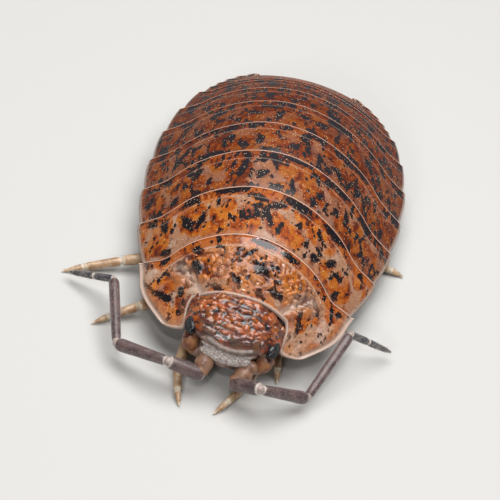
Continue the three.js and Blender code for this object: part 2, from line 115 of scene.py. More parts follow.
# Dark marks on each plate: share across, share from its front to its hind edge, half length, half width, turn
MARKS = {
    1: [
        (-0.54, 0.47, 0.28, 0.17, -60),
        (-0.69, 0.71, 0.26, 0.1, -45),
        (-0.55, 0.78, 0.28, 0.09, -40),
        (-0.06, 0.66, 0.31, 0.08, 36),
        (0.13, 0.45, 0.38, 0.15, -30),
        (0.37, 0.22, 0.28, 0.11, 0),
        (-0.12, 0.22, 0.19, 0.09, -27),
        (-0.33, 0.1, 0.2, 0.09, -20),
        (-0.87, 0.43, 0.36, 0.14, -40),
        (-0.95, 0.6, 0.25, 0.09, -48),
        (-0.71, 0.28, 0.17, 0.1, -38),
        (0.71, 0.26, 0.27, 0.12, -6),
        (0.73, 0.7, 0.28, 0.1, 0),
        (0.1, 0.9, 0.38, 0.09, 0),
        (0.34, 0.9, 0.42, 0.1, 0),
    ],
    2: [
        (-0.62, 0.9, 0.32, 0.17, 5),
        (-0.64, 0.47, 0.36, 0.18, -53),
        (-0.53, 0.42, 0.28, 0.13, 55),
        (-0.81, 0.7, 0.29, 0.12, -75),
        (-0.33, 0.93, 0.6, 0.13, 0),
        (-0.4, 0.74, 0.2, 0.08, -85),
        (-0.08, 0.78, 0.3, 0.13, -20),
        (0.0, 0.52, 0.24, 0.12, 80),
        (0.08, 0.7, 0.3, 0.12, 25),
        (0.05, 0.4, 0.22, 0.09, -60),
        (-0.07, 0.6, 0.2, 0.1, 10),
        (0.25, 0.9, 0.55, 0.19, 0),
        (0.6, 0.94, 0.58, 0.2, 5),
        (0.48, 0.66, 0.2, 0.08, -64),
        (0.42, 0.33, 0.12, 0.09, -45),
        (0.53, 0.24, 0.19, 0.14, 0),
        (0.66, 0.44, 0.29, 0.12, 54),
        (-0.89, 0.84, 0.21, 0.14, -12),
        (-0.82, 0.14, 0.25, 0.14, -14),
    ],
    3: [
        (-0.26, 0.55, 0.46, 0.14, 73),
        (-0.25, 0.86, 0.22, 0.13, -47),
        (-0.34, 0.64, 0.17, 0.08, 66),
        (-0.6, 0.64, 0.2, 0.13, 61),
        (-0.51, 0.31, 0.12, 0.1, -66),
        (-0.68, 0.48, 0.16, 0.13, 89),
        (-0.1, 0.4, 0.2, 0.16, 37),
        (0.03, 0.14, 0.24, 0.14, 23),
        (0.12, 0.94, 0.52, 0.15, 0),
        (0.5, 0.94, 0.51, 0.2, 5),
        (0.76, 0.93, 0.46, 0.2, -17),
        (0.16, 0.24, 0.27, 0.1, -71),
        (0.38, 0.44, 0.17, 0.12, 51),
        (0.53, 0.4, 0.16, 0.14, -36),
        (0.62, 0.48, 0.27, 0.12, -74),
        (-0.92, 0.5, 0.3, 0.14, 50),
        (-0.76, 0.26, 0.21, 0.12, 38),
    ],
    4: [
        (-0.53, 0.16, 0.7, 0.14, -8),
        (-0.45, 0.43, 0.29, 0.12, -89),
        (-0.43, 0.85, 0.34, 0.18, 12),
        (-0.09, 0.14, 0.36, 0.1, 0),
        (0.0, 0.88, 0.14, 0.09, 0),
        (0.19, 0.92, 0.22, 0.13, 0),
        (0.06, 0.36, 0.14, 0.12, -51),
        (0.29, 0.38, 0.18, 0.12, -53),
        (0.45, 0.93, 0.28, 0.13, 0),
        (0.43, 0.41, 0.17, 0.12, 0),
        (0.56, 0.39, 0.36, 0.09, 74),
        (0.63, 0.36, 0.22, 0.11, 67),
        (0.62, 0.92, 0.3, 0.13, 0),
        (-0.72, 0.6, 0.3, 0.12, 40),
    ],
    5: [
        (-0.28, 0.47, 0.27, 0.12, 0),
        (0.09, 0.55, 0.21, 0.12, 0),
        (0.37, 0.9, 0.6, 0.2, 0),
        (-0.1, 0.92, 0.3, 0.12, 0),
        (-0.55, 0.7, 0.35, 0.16, 20),
        (0.66, 0.5, 0.3, 0.15, -40),
    ],
}

MARK_REACH = 1.5  # no mark is felt beyond this

# The fourth plate is alike on both sides and the tail plate ends the body, so they give the body's place.
plate_low, plate_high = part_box("thorax_plate_4")
tail_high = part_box("tail_plate")[1]
ORIGIN = Vector(((plate_low.x + plate_high.x) / 2, tail_high.y - TAIL_END * MM, 0))
TO_ROW = Matrix.Translation(ORIGIN) @ Matrix.Scale(MM, 4)


def clamp(value):
    return min(1.0, max(0.0, value))


def mix(a, b, share):
    return a + (b - a) * share


def smooth(value):
    value = clamp(value)
    return value * value * (3 - 2 * value)


def bell(value, width):
    """1 where the value is nothing, falling off on both sides over a width."""
    return math.exp(-((value / width) ** 2))


# Camera: the photo's view, from ahead and above, with the picture turned a little
PIXELS_PER_MM = 27.4
PICTURE_PIXELS = 500
SENSOR_WIDTH = 36.0
NEAREST = 0.002  # metres
FARTHEST = 5.0
CAMERA_TURN = math.radians(2.4)
CAMERA_RISE = math.radians(41.8)
CAMERA_ROLL = math.radians(12.9)
CAMERA_REACH = 100.0
CAMERA_AIM = Vector((-0.39, 0.0, -1.21))
FOCAL_WIDTHS = PIXELS_PER_MM * CAMERA_REACH / PICTURE_PIXELS  # focal length in widths of the picture


def make_camera():
    back = Vector(
        (
            math.sin(CAMERA_TURN) * math.cos(CAMERA_RISE),
            -math.cos(CAMERA_TURN) * math.cos(CAMERA_RISE),
            math.sin(CAMERA_RISE),
        )
    )
    right = (-back).cross(Vector((0, 0, 1))).normalized()
    up = right.cross(-back)
    turned_right = right * math.cos(CAMERA_ROLL) + up * math.sin(CAMERA_ROLL)
    turned_up = up * math.cos(CAMERA_ROLL) - right * math.sin(CAMERA_ROLL)
    data = bpy.data.cameras.new("view")
    data.sensor_width = SENSOR_WIDTH
    data.lens = FOCAL_WIDTHS * SENSOR_WIDTH
    data.clip_start = NEAREST
    data.clip_end = FARTHEST
    camera = bpy.data.objects.new("view", data)
    bpy.context.scene.collection.objects.link(camera)
    turn = Matrix((turned_right, turned_up, back)).transposed().to_4x4()
    camera.matrix_world = Matrix.Translation(TO_ROW @ (CAMERA_AIM + back * CAMERA_REACH)) @ turn
    bpy.context.scene.camera = camera


# Painting: a thin layer over the shader nodes, so that their sums read as sums
class Value:
    """A number that changes over a surface. Sums and products of it add the nodes that work them out."""

    def __init__(self, paint, socket):
        self.paint = paint
        self.socket = socket

    def maths(self, operation, *values):
        inputs = dict(enumerate(values))
        return self.paint.node("Math", {"operation": operation}, inputs)

    def __add__(self, other):
        return self.maths("ADD", self, other)

    def __radd__(self, other):
        return self.maths("ADD", other, self)

    def __sub__(self, other):
        return self.maths("SUBTRACT", self, other)

    def __rsub__(self, other):
        return self.maths("SUBTRACT", other, self)

    def __mul__(self, other):
        return self.maths("MULTIPLY", self, other)

    def __rmul__(self, other):
        return self.maths("MULTIPLY", other, self)

    def most(self, other):
        return self.maths("MAXIMUM", self, other)

    def ramp(self, low, high):
        """0 up to low and 1 past high, with soft ends. It falls instead where low is above high."""
        return self.paint.node("MapRange", {"interpolation_type": "SMOOTHSTEP"}, {0: self, 1: low, 2: high})


class Paint:
    """A material and its nodes."""

    def __init__(self, name):
        self.material = bpy.data.materials.new(name)
        self.material.use_nodes = True
        self.tree = self.material.node_tree
        self.tree.nodes.clear()

    def node(self, kind, settings=None, inputs=None, output=0):
        made = self.tree.nodes.new("ShaderNode" + kind)
        for key, value in (settings or {}).items():
            setattr(made, key, value)
        for key, value in (inputs or {}).items():
            if isinstance(value, Value):
                self.tree.links.new(value.socket, made.inputs[key])
            else:
                made.inputs[key].default_value = value
        return Value(self, made.outputs[output])

    def place(self, stretch=(1, 1, 1)):
        """The body's own place in millimetres, stretched along its axes."""
        corner = self.node("TexCoord", output="Object")
        scale = [s / MM for s in stretch]
        location = [-o * s for o, s in zip(ORIGIN, scale)]
        return self.node("Mapping", None, {"Vector": corner, "Location": location, "Scale": scale})

    def shift(self, place, amount):
        """A place moved by an amount along every axis, so that pieces beside each other differ."""
        by = self.node("CombineXYZ", None, {0: amount, 1: amount, 2: amount})
        return self.node("VectorMath", {"operation": "ADD"}, {0: place, 1: by})

    def bend(self, place, reach, per_mm):
        """A place pushed about by slow clouds, so that round cells on it turn uneven."""
        push = self.node("TexNoise", None, {"Vector": place, "Scale": per_mm, "Detail": 2.0}, output=1)
        push = self.node("VectorMath", {"operation": "SUBTRACT"}, {0: push, 1: (0.5, 0.5, 0.5)})
        push = self.node("VectorMath", {"operation": "SCALE"}, {0: push, "Scale": reach})
        return self.node("VectorMath", {"operation": "ADD"}, {0: place, 1: push})

    def attribute(self, name):
        return self.node("Attribute", {"attribute_name": name}, output="Fac")

    def clouds(self, place, per_mm, detail=3.0, roughness=0.55):
        inputs = {"Vector": place, "Scale": per_mm, "Detail": detail, "Roughness": roughness}
        return self.node("TexNoise", None, inputs)

    def cells(self, place, per_mm):
        """Distance from the middle of the nearest cell, in cells."""
        inputs = {"Vector": place, "Scale": per_mm, "Randomness": 1.0}
        return self.node("TexVoronoi", {"feature": "F1"}, inputs, output="Distance")

    def blend(self, under, over, share):
        return self.node("Mix", {"data_type": "RGBA"}, {0: share, 6: under, 7: over}, output=2)

    def relief(self, height, strength, reach_mm):
        return self.node("Bump", None, {"Height": height, "Strength": strength, "Distance": reach_mm * MM})

    def finish(self, **inputs):
        named = {key.replace("_", " "): value for key, value in inputs.items()}
        surface = self.node("BsdfPrincipled", None, named)
        out = self.tree.nodes.new("ShaderNodeOutputMaterial")
        self.tree.links.new(surface.socket, out.inputs["Surface"])
        return self.material


FLESH = (0.37, 0.195, 0.115, 1)
AMBER = (0.44, 0.135, 0.016, 1)
ORANGE = (0.33, 0.062, 0.007, 1)
RUST = (0.09, 0.016, 0.006, 1)
DARK = (0.007, 0.006, 0.008, 1)
SLATE = (0.05, 0.043, 0.05, 1)
PALE = (0.46, 0.345, 0.285, 1)
CREAM = (0.66, 0.50, 0.41, 1)
# Pale gold of the shell's small grains, painted bright as glints
SPECK_GLINT_GOLD = (0.9, 0.66, 0.42, 1)
SHELL_GLOW = (1.0, 0.45, 0.25)  # how far red, green and blue light travel under the shell
LIMB_GLOW = (1.0, 0.5, 0.3)
GLOW_REACH = 0.1 * MM

# Sizes of the shell's pattern, in pieces per millimetre
ISLANDS = 1.1
DOTS = 3.4
RAGGED_EDGES = 6.5
SHELL_GRAIN = 9.0
SPECKS = 11.0
PEPPER = 14.0
SHELL_LAYERS = ("to_hind", "to_side", "mark", "pale", "gloss", "hollow_shade", "seed", "rear_tone_and_shade", "dome")


def shell_ground(paint, layer, place, hind_band):
    """Amber islands with rusty depths on flesh, redder and darker towards the rear, partly from darker
    pigment and partly as painted fall-off of the light.
    """
    rear_tone_and_shade, dome, pale = layer["rear_tone_and_shade"], layer["dome"], layer["pale"]
    wavy = paint.bend(place, 0.5, 1.5)
    islands = paint.cells(wavy, ISLANDS).ramp(0.66, 0.54).most(rear_tone_and_shade * 0.8)
    open_ground = paint.clouds(place, 0.75, 2.0).ramp(0.56, 0.68) * (1 - 0.95 * rear_tone_and_shade)
    amber_share = (islands.most(dome * 0.7) * (1 - 0.75 * open_ground)).most(hind_band * 0.9)
    amber_share = amber_share * layer["to_side"].ramp(0.1, 0.3)
    depth = paint.clouds(wavy, 2.3, 3.0, 0.62) + rear_tone_and_shade * 0.06 + 0.02
    orange_share = depth.ramp(0.44, 0.58).most(hind_band * 0.6) * (1 - 0.45 * dome)
    amber = paint.blend(AMBER, ORANGE, orange_share)
    amber = paint.blend(amber, RUST, depth.ramp(0.54, 0.68))
    ground = paint.blend(FLESH, PALE, paint.clouds(place, 1.9).ramp(0.45, 0.7) * 0.6)
    colour = paint.blend(ground, amber, amber_share * (1 - 0.9 * pale))
    # Rust over the rear plates: partly their darker pigment, partly painted fall-off of the light towards the
    # rear
    colour = paint.blend(colour, RUST, rear_tone_and_shade * 0.86)
    return paint.blend(colour, PALE, pale.ramp(0.5, 1.0) * 0.5)


def shell_marks(paint, layer, place, hind_band, bare, colour):
    """Dark marks with ragged rusty edges and round dots among them, and small light points in the marks
    painted as sparkle.
    """
    # Marks grow darker and greyer towards the rear: partly pigment, partly painted fall-off of the light
    rear_tone_and_shade = layer["rear_tone_and_shade"]
    long_place = paint.shift(paint.place((1.2, 0.85, 1)), layer["seed"])
    ragged = (paint.clouds(place, RAGGED_EDGES, 4.0, 0.72) - 0.5) * 1.7
    strokes = paint.clouds(long_place, 2.3, 3.0, 0.62) + rear_tone_and_shade * 0.07 + hind_band * 0.03
    ink = layer["mark"].most(strokes.ramp(0.56, 0.66) * 0.8) + ragged
    dots = paint.cells(paint.bend(place, 0.12, 5.0), DOTS).ramp(0.27, 0.17)
    dots = dots * paint.clouds(place, 1.6).ramp(0.46, 0.54)
    # Small light points in the dark marks: painted sparkle of fine grains
    pepper_sparkle = paint.cells(place, PEPPER).ramp(0.3, 0.16) * paint.clouds(place, 3.0).ramp(0.46, 0.6)
    colour = paint.blend(colour, RUST, ink.ramp(0.05, 0.32) * bare * 0.6)
    darkness = ink.ramp(0.3, 0.4).most(dots) * bare * (1 - pepper_sparkle * 0.6)
    return paint.blend(colour, paint.blend(DARK, SLATE, rear_tone_and_shade * 0.3), darkness)


def shell_paint():
    """The plates' skin: pattern, gold specks painted brighter as glints, painted shade in the first plate's
    wart hollows, pale borders and a cream line along the hind edge.
    """
    paint = Paint("shell")
    layer = {name: paint.attribute(name) for name in SHELL_LAYERS}
    behind, beside, gloss = layer["to_hind"], layer["to_side"], layer["gloss"]
    place = paint.shift(paint.place(), layer["seed"])
    hind_band = behind.ramp(0.46, 0.3)
    bare = behind.ramp(0.05, 0.09) * beside.ramp(0.08, 0.18) * (1 - 0.7 * layer["pale"])
    colour = shell_ground(paint, layer, place, hind_band)
    colour = shell_marks(paint, layer, place, hind_band, bare, colour)
    # Gold specks: small pale grains of the shell, painted brighter as glints (painted highlights)
    specks_and_glints = paint.cells(place, SPECKS).ramp(0.24, 0.13) * paint.clouds(place, 1.7).ramp(0.38, 0.56)
    colour = paint.blend(colour, SPECK_GLINT_GOLD, specks_and_glints * bare * 0.55)
    # Painted shade: the hollows between the first plate's warts are darkened towards rust.
    colour = paint.blend(colour, RUST, layer["hollow_shade"] * 0.75)
    colour = paint.blend(colour, PALE, beside.ramp(0.26, 0.1) * 0.85)
    seam = behind.ramp(0.37, 0.4) * behind.ramp(0.45, 0.42)
    line = behind.ramp(0.07, 0.045) * behind.ramp(0.018, 0.034)
    colour = paint.blend(colour, CREAM, line.most(seam * 0.14))
    grain = paint.cells(place, SHELL_GRAIN).ramp(0.5, 0.0) * 0.6 + paint.clouds(place, 18.0, 2.0) * 0.5
    return paint.finish(
        Base_Color=colour,
        Roughness=0.5 - 0.24 * gloss + 0.16 * (paint.clouds(place, 5.0) - 0.5),
        Normal=paint.relief(grain * (1 - 0.5 * gloss) + specks_and_glints * 0.7, 0.6, 0.022),
        Coat_Weight=0.95 * gloss,
        Coat_Roughness=0.1,
        Specular_IOR_Level=0.1,
        Subsurface_Weight=0.1,
        Subsurface_Radius=SHELL_GLOW,
        Subsurface_Scale=GLOW_REACH,
    )


SKIN_SHADE = (0.12, 0.06, 0.042, 1)
SKIN_LIGHT = (0.3, 0.19, 0.15, 1)
BROW_SHADE = (0.03, 0.027, 0.022, 1)
BROW_GREY = (0.11, 0.1, 0.088, 1)
FACE_AMBER = (0.36, 0.15, 0.055, 1)
FACE_RUST = (0.2, 0.07, 0.03, 1)
FROST_UNDER = (0.24, 0.18, 0.15, 1)
FROST_WHITE = (0.78, 0.71, 0.67, 1)
FACE_LAYERS = ("crown", "hollow_shade", "brow", "shield", "lobe", "height")


def crown_colour(paint, layer, place):
    """Rust and amber bumps on plain skin, dark between them with dark marbling and painted shade in their
    hollows, and dark near the brow.
    """
    crown_share = layer["crown"]
    wavy = paint.bend(paint.place((0.7, 1.2, 1.2)), 0.3, 2.5)
    rust = paint.blend(ORANGE, RUST, paint.clouds(wavy, 2.4, 3.0, 0.6).ramp(0.38, 0.58))
    rust = paint.blend(rust, AMBER, paint.clouds(place, 4.0).ramp(0.48, 0.6) * 0.45)
    # Dark marbling from clouds, plus painted shade in the hollows between the warts
    dark = (paint.clouds(wavy, 2.6, 4.0, 0.68) - 0.5) * 3.2 + layer["hollow_shade"] * 0.45
    skin = paint.blend(SKIN_SHADE, SKIN_LIGHT, paint.clouds(place, 2.5).ramp(0.42, 0.6))
    colour = paint.blend(skin, rust, crown_share)
    colour = paint.blend(colour, DARK, dark.ramp(0.3, 0.6) * crown_share * 0.92)
    near_brow = crown_share * (1 - layer["height"]) * paint.clouds(place, 4.0).ramp(0.38, 0.55)
    return paint.blend(colour, BROW_SHADE, near_brow * 0.85)


def head_paint():
    """The head's skin: a rusty crown, a grey brow, a frosted shield and brown lobes under the eyes."""
    paint = Paint("head_skin")
    layer = {name: paint.attribute(name) for name in FACE_LAYERS}
    crown_share, shield = layer["crown"], layer["shield"]
    place = paint.place()
    colour = crown_colour(paint, layer, place)
    amber_lobe = paint.blend(FACE_AMBER, FACE_RUST, paint.clouds(place, 3.2).ramp(0.4, 0.62))
    colour = paint.blend(colour, amber_lobe, layer["lobe"])
    frost = paint.clouds(place, 15.0, 4.0, 0.8).ramp(0.38, 0.66)
    colour = paint.blend(colour, paint.blend(FROST_UNDER, FROST_WHITE, frost), shield)
    colour = paint.blend(colour, BROW_GREY, layer["brow"] * (0.6 + 0.4 * paint.clouds(place, 5.0)))
    grain = paint.cells(place, 8.0).ramp(0.5, 0.0) * (0.3 + shield) + paint.clouds(place, 14.0, 2.0) * 0.4
    return paint.finish(
        Base_Color=colour,
        Roughness=0.36 + 0.2 * (1 - crown_share),
        Normal=paint.relief(grain, 0.5, 0.025),
        Coat_Weight=0.25 + 0.55 * crown_share,
        Coat_Roughness=0.14,
        Subsurface_Weight=0.1,
        Subsurface_Radius=SHELL_GLOW,
        Subsurface_Scale=GLOW_REACH,
    )


def limb_paint(name, colour, shade, joint, end_mm, roughness=0.42, sheen=0.0):
    """Mottled skin along a limb, paler towards the ends of each length."""
    paint = Paint(name)
    place = paint.place()
    tone = paint.blend(colour, shade, paint.clouds(place, 3.4, 4.0, 0.6).ramp(0.4, 0.62))
    tone = paint.blend(tone, joint, paint.attribute("to_end").ramp(end_mm, end_mm * 0.35))
    scales = paint.cells(place, 16.0).ramp(0.35, 0.1)
    tone = paint.blend(tone, joint, scales * 0.25)
    grain = scales * 0.5 + paint.clouds(place, 9.0, 3.0)
    return paint.finish(
        Base_Color=tone,
        Roughness=roughness,
        Normal=paint.relief(grain, 0.5, 0.02),
        Coat_Weight=0.25,
        Coat_Roughness=0.2,
        Sheen_Weight=sheen,
        Sheen_Roughness=0.35,
        Subsurface_Weight=0.12,
        Subsurface_Radius=LIMB_GLOW,
        Subsurface_Scale=GLOW_REACH,
    )


def two_tones(name, light, shade, roughness, per_mm=3.0, coat=0.0, relief_mm=0.01, subsurface=0.0):
    """A plain skin of one colour clouded with another."""
    paint = Paint(name)
    place = paint.place()
    share = paint.clouds(place, per_mm, 4.0, 0.6).ramp(0.4, 0.65)
    return paint.finish(
        Base_Color=paint.blend(light + (1,), shade + (1,), share),
        Roughness=roughness,
        Normal=paint.relief(paint.clouds(place, per_mm * 4, 3.0), 0.4, relief_mm),
        Coat_Weight=coat,
        Subsurface_Weight=subsurface,
        Subsurface_Radius=LIMB_GLOW,
        Subsurface_Scale=GLOW_REACH,
    )


SHELL = shell_paint()
HEAD_SKIN = head_paint()
EYE_BLACK = two_tones("eye_black", (0.004, 0.004, 0.005), (0.008, 0.008, 0.01), 0.13, relief_mm=0.0)
JOINT = (0.46, 0.39, 0.34, 1)
STRAW_JOINT = (0.6, 0.5, 0.38, 1)
FEELER_SKIN = limb_paint(
    "feeler_skin", (0.115, 0.07, 0.066, 1), (0.06, 0.036, 0.036, 1), JOINT, 0.1, 0.4, 0.35
)
LASH_SKIN = limb_paint(
    "lash_skin", (0.085, 0.078, 0.085, 1), (0.03, 0.028, 0.032, 1), JOINT, 0.07, 0.5, 0.35
)
LEG_STRAW = limb_paint("leg_straw", (0.46, 0.31, 0.18, 1), (0.27, 0.14, 0.065, 1), STRAW_JOINT, 0.16)
LOBE_BROWN = two_tones("lobe_brown", (0.28, 0.15, 0.09), (0.16, 0.075, 0.045), 0.4, 3.5, 0.25, 0.02, 0.15)
# Painted shade: the mouthparts are coloured near black for the shadow under the head
MOUTH_PAINTED_SHADE = two_tones("mouth_painted_shade", (0.12, 0.07, 0.045), (0.05, 0.028, 0.02), 0.4, 4.0, 0.2)
UNDER_CREAM = two_tones(
    "under_cream", (0.42, 0.32, 0.24), (0.28, 0.19, 0.13), 0.45, 1.5, 0.2, subsurface=0.15
)
GILL_WHITE = two_tones(
    "gill_white", (0.62, 0.58, 0.5), (0.42, 0.34, 0.27), 0.45, 1.5, 0.2, subsurface=0.15
)
JOINT_SKIN = two_tones("joint_skin", (0.36, 0.29, 0.26), (0.24, 0.17, 0.15), 0.45, 4.0, subsurface=0.15)
HAIR_PALE = two_tones("hair_pale", (0.5, 0.45, 0.4), (0.4, 0.34, 0.3), 0.5, 2.0)


# The body's lines, as in the solids
def half_width(y):
    length, power = FRONT_OVAL if y < WIDEST_Y else REAR_OVAL
    along = abs((y - WIDEST_Y) / length)
    return HALF_WIDTH * clamp(1 - along**power) ** (1 / power)


def crown(y):
    return (BACK_HEIGHT - EDGE_HEIGHT) * clamp(1 - ((y - CREST_Y) / BACK_FALL) ** 2)


def shell_point(across, y, depth):
    """A point at a depth under the shell's surface, square to it."""
    wide = half_width(y)
    high = crown(y)
    inward = Vector((-2 * high * across, 0, -wide)).normalized()
    return Vector((wide * across, y, EDGE_HEIGHT + high * (1 - across * across))) + inward * depth


def stretch_across(across, y):
    """Millimetres over the shell for one of share across."""
    wide = half_width(y)
    return math.hypot(wide, 2 * crown(y) * across)


def hind_edge(n, across):
    share = abs(across)
    notch = HIND_NOTCH["reach"] * bell(share - HIND_NOTCH["share"], HIND_NOTCH["width"])
    return HIND_EDGES[n] - notch + HIND_CORNER["reach"] * share ** HIND_CORNER["power"]


def collar_edge(across):
    """Front edge of the first plate: bowed a little behind the head, with a round lobe on each side of it."""
    share = abs(across)
    corner = clamp((share - LOBE["corner"]) / (1 - LOBE["corner"]))
    lobe = LOBE["reach"] * smooth((share - LOBE["inner"]) / LOBE["width"])
    lobe -= LOBE["rounding"] * (1 - math.sqrt(1 - corner * corner))
    return NECK_Y - NECK_BOW["reach"] * bell(share, NECK_BOW["width"]) - lobe


def side_flare(across, y):
    """How far out a place on the first plate is moved, most at the plate's sides."""
    outer = smooth((abs(across) - FLARE["inner"]) / (1 - FLARE["inner"]))
    return math.copysign(FLARE["out"] * outer * bell(y - FLARE["y"], FLARE["length"]), across)


def mark_at(n, across, along, y, length):
    """How much of plate n's own dark marks lies at a place, from 0 to 1."""
    strongest = 0.0
    for centre, share, half_long, half_wide, turn in MARKS.get(n, ()):
        dx = (across - centre) * stretch_across(across, y)
        dy = (along - share) * length
        if abs(dx) < MARK_REACH and abs(dy) < MARK_REACH:
            cos, sin = math.cos(math.radians(turn)), math.sin(math.radians(turn))
            u = (dx * cos + dy * sin) / half_long
            v = (dy * cos - dx * sin) / half_wide
            strongest = max(strongest, math.exp(-u * u - v * v))
    return strongest


# Finishing a piece
def finish_piece(bm, name, material, nodes=(), levels=0, thickness=0.0):
    """Sets a shape in the row frame, gives it its skin, and lets it stand for its nodes."""
    bmesh.ops.transform(bm, matrix=TO_ROW, verts=bm.verts)
    mesh = bpy.data.meshes.new(name)
    bm.to_mesh(mesh)
    bm.free()
    for face in mesh.polygons:
        face.use_smooth = True
    mesh.materials.append(material)
    piece = bpy.data.objects.new(name, mesh)
    bpy.context.scene.collection.objects.link(piece)
    if thickness:
        wall = piece.modifiers.new("wall", "SOLIDIFY")
        wall.thickness = thickness * MM
        wall.offset = -1.0
        wall.use_even_offset = False
    if levels:
        rounding = piece.modifiers.new("rounding", "SUBSURF")
        rounding.levels = levels
        rounding.render_levels = levels
    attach(piece, "root")
    if nodes:
        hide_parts(*nodes)
    return piece


def add_layers(bm, names):
    return {name: bm.verts.layers.float.get(name) or bm.verts.layers.float.new(name) for name in names}


ROW_CROWDING = 1.45  # how much closer a sheet's rows lie towards its hind edge


def new_grid(columns, rows):
    """A flat sheet from -1 to 1 across and 0 to 1 along, facing up, its rows closer towards 1."""
    bm = bmesh.new()
    bmesh.ops.create_grid(bm, x_segments=columns, y_segments=rows, size=1.0)
    for vert in bm.verts:
        vert.co.y = 1 - ((1 - vert.co.y) / 2) ** ROW_CROWDING
    return bm


def new_ball(columns, rows):
    bm = bmesh.new()
    bmesh.ops.create_uvsphere(bm, u_segments=columns, v_segments=rows, radius=1.0)
    return bm


def merge_into(whole, part):
    """Adds one shape to another and frees it."""
    spare = bpy.data.meshes.new("spare")
    part.to_mesh(spare)
    part.free()
    whole.from_mesh(spare)
    bpy.data.meshes.remove(spare)


WART_RADIUS = 0.62  # in spacings
# Squeeze along each axis, reach and rate of the swirl, rate, fall and share of the ridges,
# and spacing, seed and share of the warts
DOME_LEATHER = {
    "squeeze": (0.75, 1, 1),
    "swirl": (0.12, 2.3),
    "ridges": (3.4, 2.6, 0.35),
    "warts": (0.2, 3.1, 0.75),
}
HEAD_LEATHER = {
    "squeeze": (0.62, 1.1, 1),
    "swirl": (0.1, 2.6),
    "ridges": (3.6, 2.8, 0.2),
    "warts": (0.19, 8.4, 0.85),
}


def leather(point, look):
    """Height of a field of round warts with short ridges among them, from 0 to 1."""
    reach, rate = look["swirl"]
    place = Vector([p * s for p, s in zip(point, look["squeeze"])]) + reach * noise.noise_vector(point * rate)
    rate, fall, share = look["ridges"]
    ridge = share * max(0.0, 1 - abs(noise.noise(place * rate)) * fall)
    spacing, seed, share = look["warts"]
    nearest = noise.voronoi(place / spacing + Vector((seed, seed, seed)))[0][0]
    return clamp(share * max(0.0, 1 - (nearest / WART_RADIUS) ** 2) + ridge)


# Thoracic plates
PLATE_GRID = (190, 52)
FIRST_GRID = (330, 120)
PLATE_THICK = 0.08
PLATE_TUCK = 0.17  # depth of a plate's hidden front edge
PLATE_ARCH = 0.05
# Darkening towards the rear: partly the plates' darker pigment, partly painted fall-off of the light
REAR_TONE_AND_SHADE = [0.12, 0.5, 0.7, 0.82, 0.92, 1.0]  # how dark and red each plate is, from the second to the seventh
HIND_RISE = 0.08
LIP = {"height": 0.03, "place": 0.05, "width": 0.035, "drop": 0.03, "drop_width": 0.02}
SIDE_TURN = {"inner": 0.98, "depth": 0.05}  # the very edge turns in
SIDE_SWELL = {"inner": 0.8, "width": 0.16, "height": 0.06}
CORNER_CUT = 0.012
PLATE_WAVE = {"height": 0.014, "rate": 1.6}
SEED_STEP = 11.3
PALE_PLATES = 3  # the plates up to this one have a paler band at their front


def lip_height(behind):
    return LIP["height"] * bell(behind - LIP["place"], LIP["width"])


def plate_profile(t, behind, tuck):
    """Depth of a plate's face from its hidden front edge to the thin raised lip of its hind edge."""
    lip = lip_height(behind) - LIP["drop"] * bell(behind, LIP["drop_width"])
    return mix(tuck, -HIND_RISE, t) - PLATE_ARCH * math.sin(math.pi * t) - lip


def side_profile(share):
    """Depth of a plate's side, swollen towards the edge and turned in at it."""
    turn = SIDE_TURN["depth"] * smooth((share - SIDE_TURN["inner"]) / (1 - SIDE_TURN["inner"]))
    return turn - SIDE_SWELL["height"] * smooth((share - SIDE_SWELL["inner"]) / SIDE_SWELL["width"])


def build_plate(n):
    bm = new_grid(*PLATE_GRID)
    layers = add_layers(bm, SHELL_LAYERS)
    for vert in bm.verts:
        across, t = vert.co.x, vert.co.y
        share = abs(across)
        hind = hind_edge(n, across)
        shown = hind_edge(n - 1, across)
        y = mix(shown - LAP, hind, t)
        corner = CORNER_CUT * smooth((t - 0.9) / 0.1) * smooth((share - 0.9) / 0.1)
        vert[layers["to_hind"]] = hind - y
        vert[layers["to_side"]] = (1 - share) * stretch_across(across, y)
        vert[layers["mark"]] = mark_at(n + 1, across, (y - shown) / (hind - shown), y, hind - shown)
        vert[layers["pale"]] = 0.75 * smooth((0.3 - (y - shown)) / 0.3) * (1 if n < PALE_PLATES else 0.4)
        vert[layers["gloss"]] = 0.28 * smooth((0.5 - (y - shown)) / 0.4)
        vert[layers["seed"]] = SEED_STEP * n
        vert[layers["rear_tone_and_shade"]] = REAR_TONE_AND_SHADE[n - 1]
        depth = plate_profile(t, hind - y, PLATE_TUCK) + side_profile(share)
        vert.co = shell_point(across * (1 - corner), y, depth)
        vert.co.z += PLATE_WAVE["height"] * noise.noise(vert.co * PLATE_WAVE["rate"])
    node = f"thorax_plate_{n + 1}"
    return finish_piece(bm, f"plate_{n + 1}", SHELL, [node], thickness=PLATE_THICK)


FRONT_SLANT = 1.15  # millimetres over the first plate's front for one along the body
RIM = {"height": 0.045, "drop": 0.04, "drop_width": 0.025, "dip": 0.03, "dip_place": 0.16, "dip_width": 0.06}
FURROW = {"start": 0.5, "slant": 0.3, "depth": 0.1, "width": 0.05, "pale_width": 0.06}
LOBE_SIDE = {"slant": 0.16, "width": 0.12}
LOBE_LIFT = {"height": 0.08, "inner": 0.76, "width": 0.2, "dip": 0.04, "dip_share": 0.84, "dip_width": 0.08}
ARCH = {"height": 0.11, "length": 1.9}
FLANGE = {"height": 0.02, "start": 0.5, "width": 0.45}
DOME = {"front": 0.36, "front_soft": 0.16, "hind": 0.4, "hind_soft": 0.12}
DOME_WARTS = {"height": 0.14, "base": 0.3}


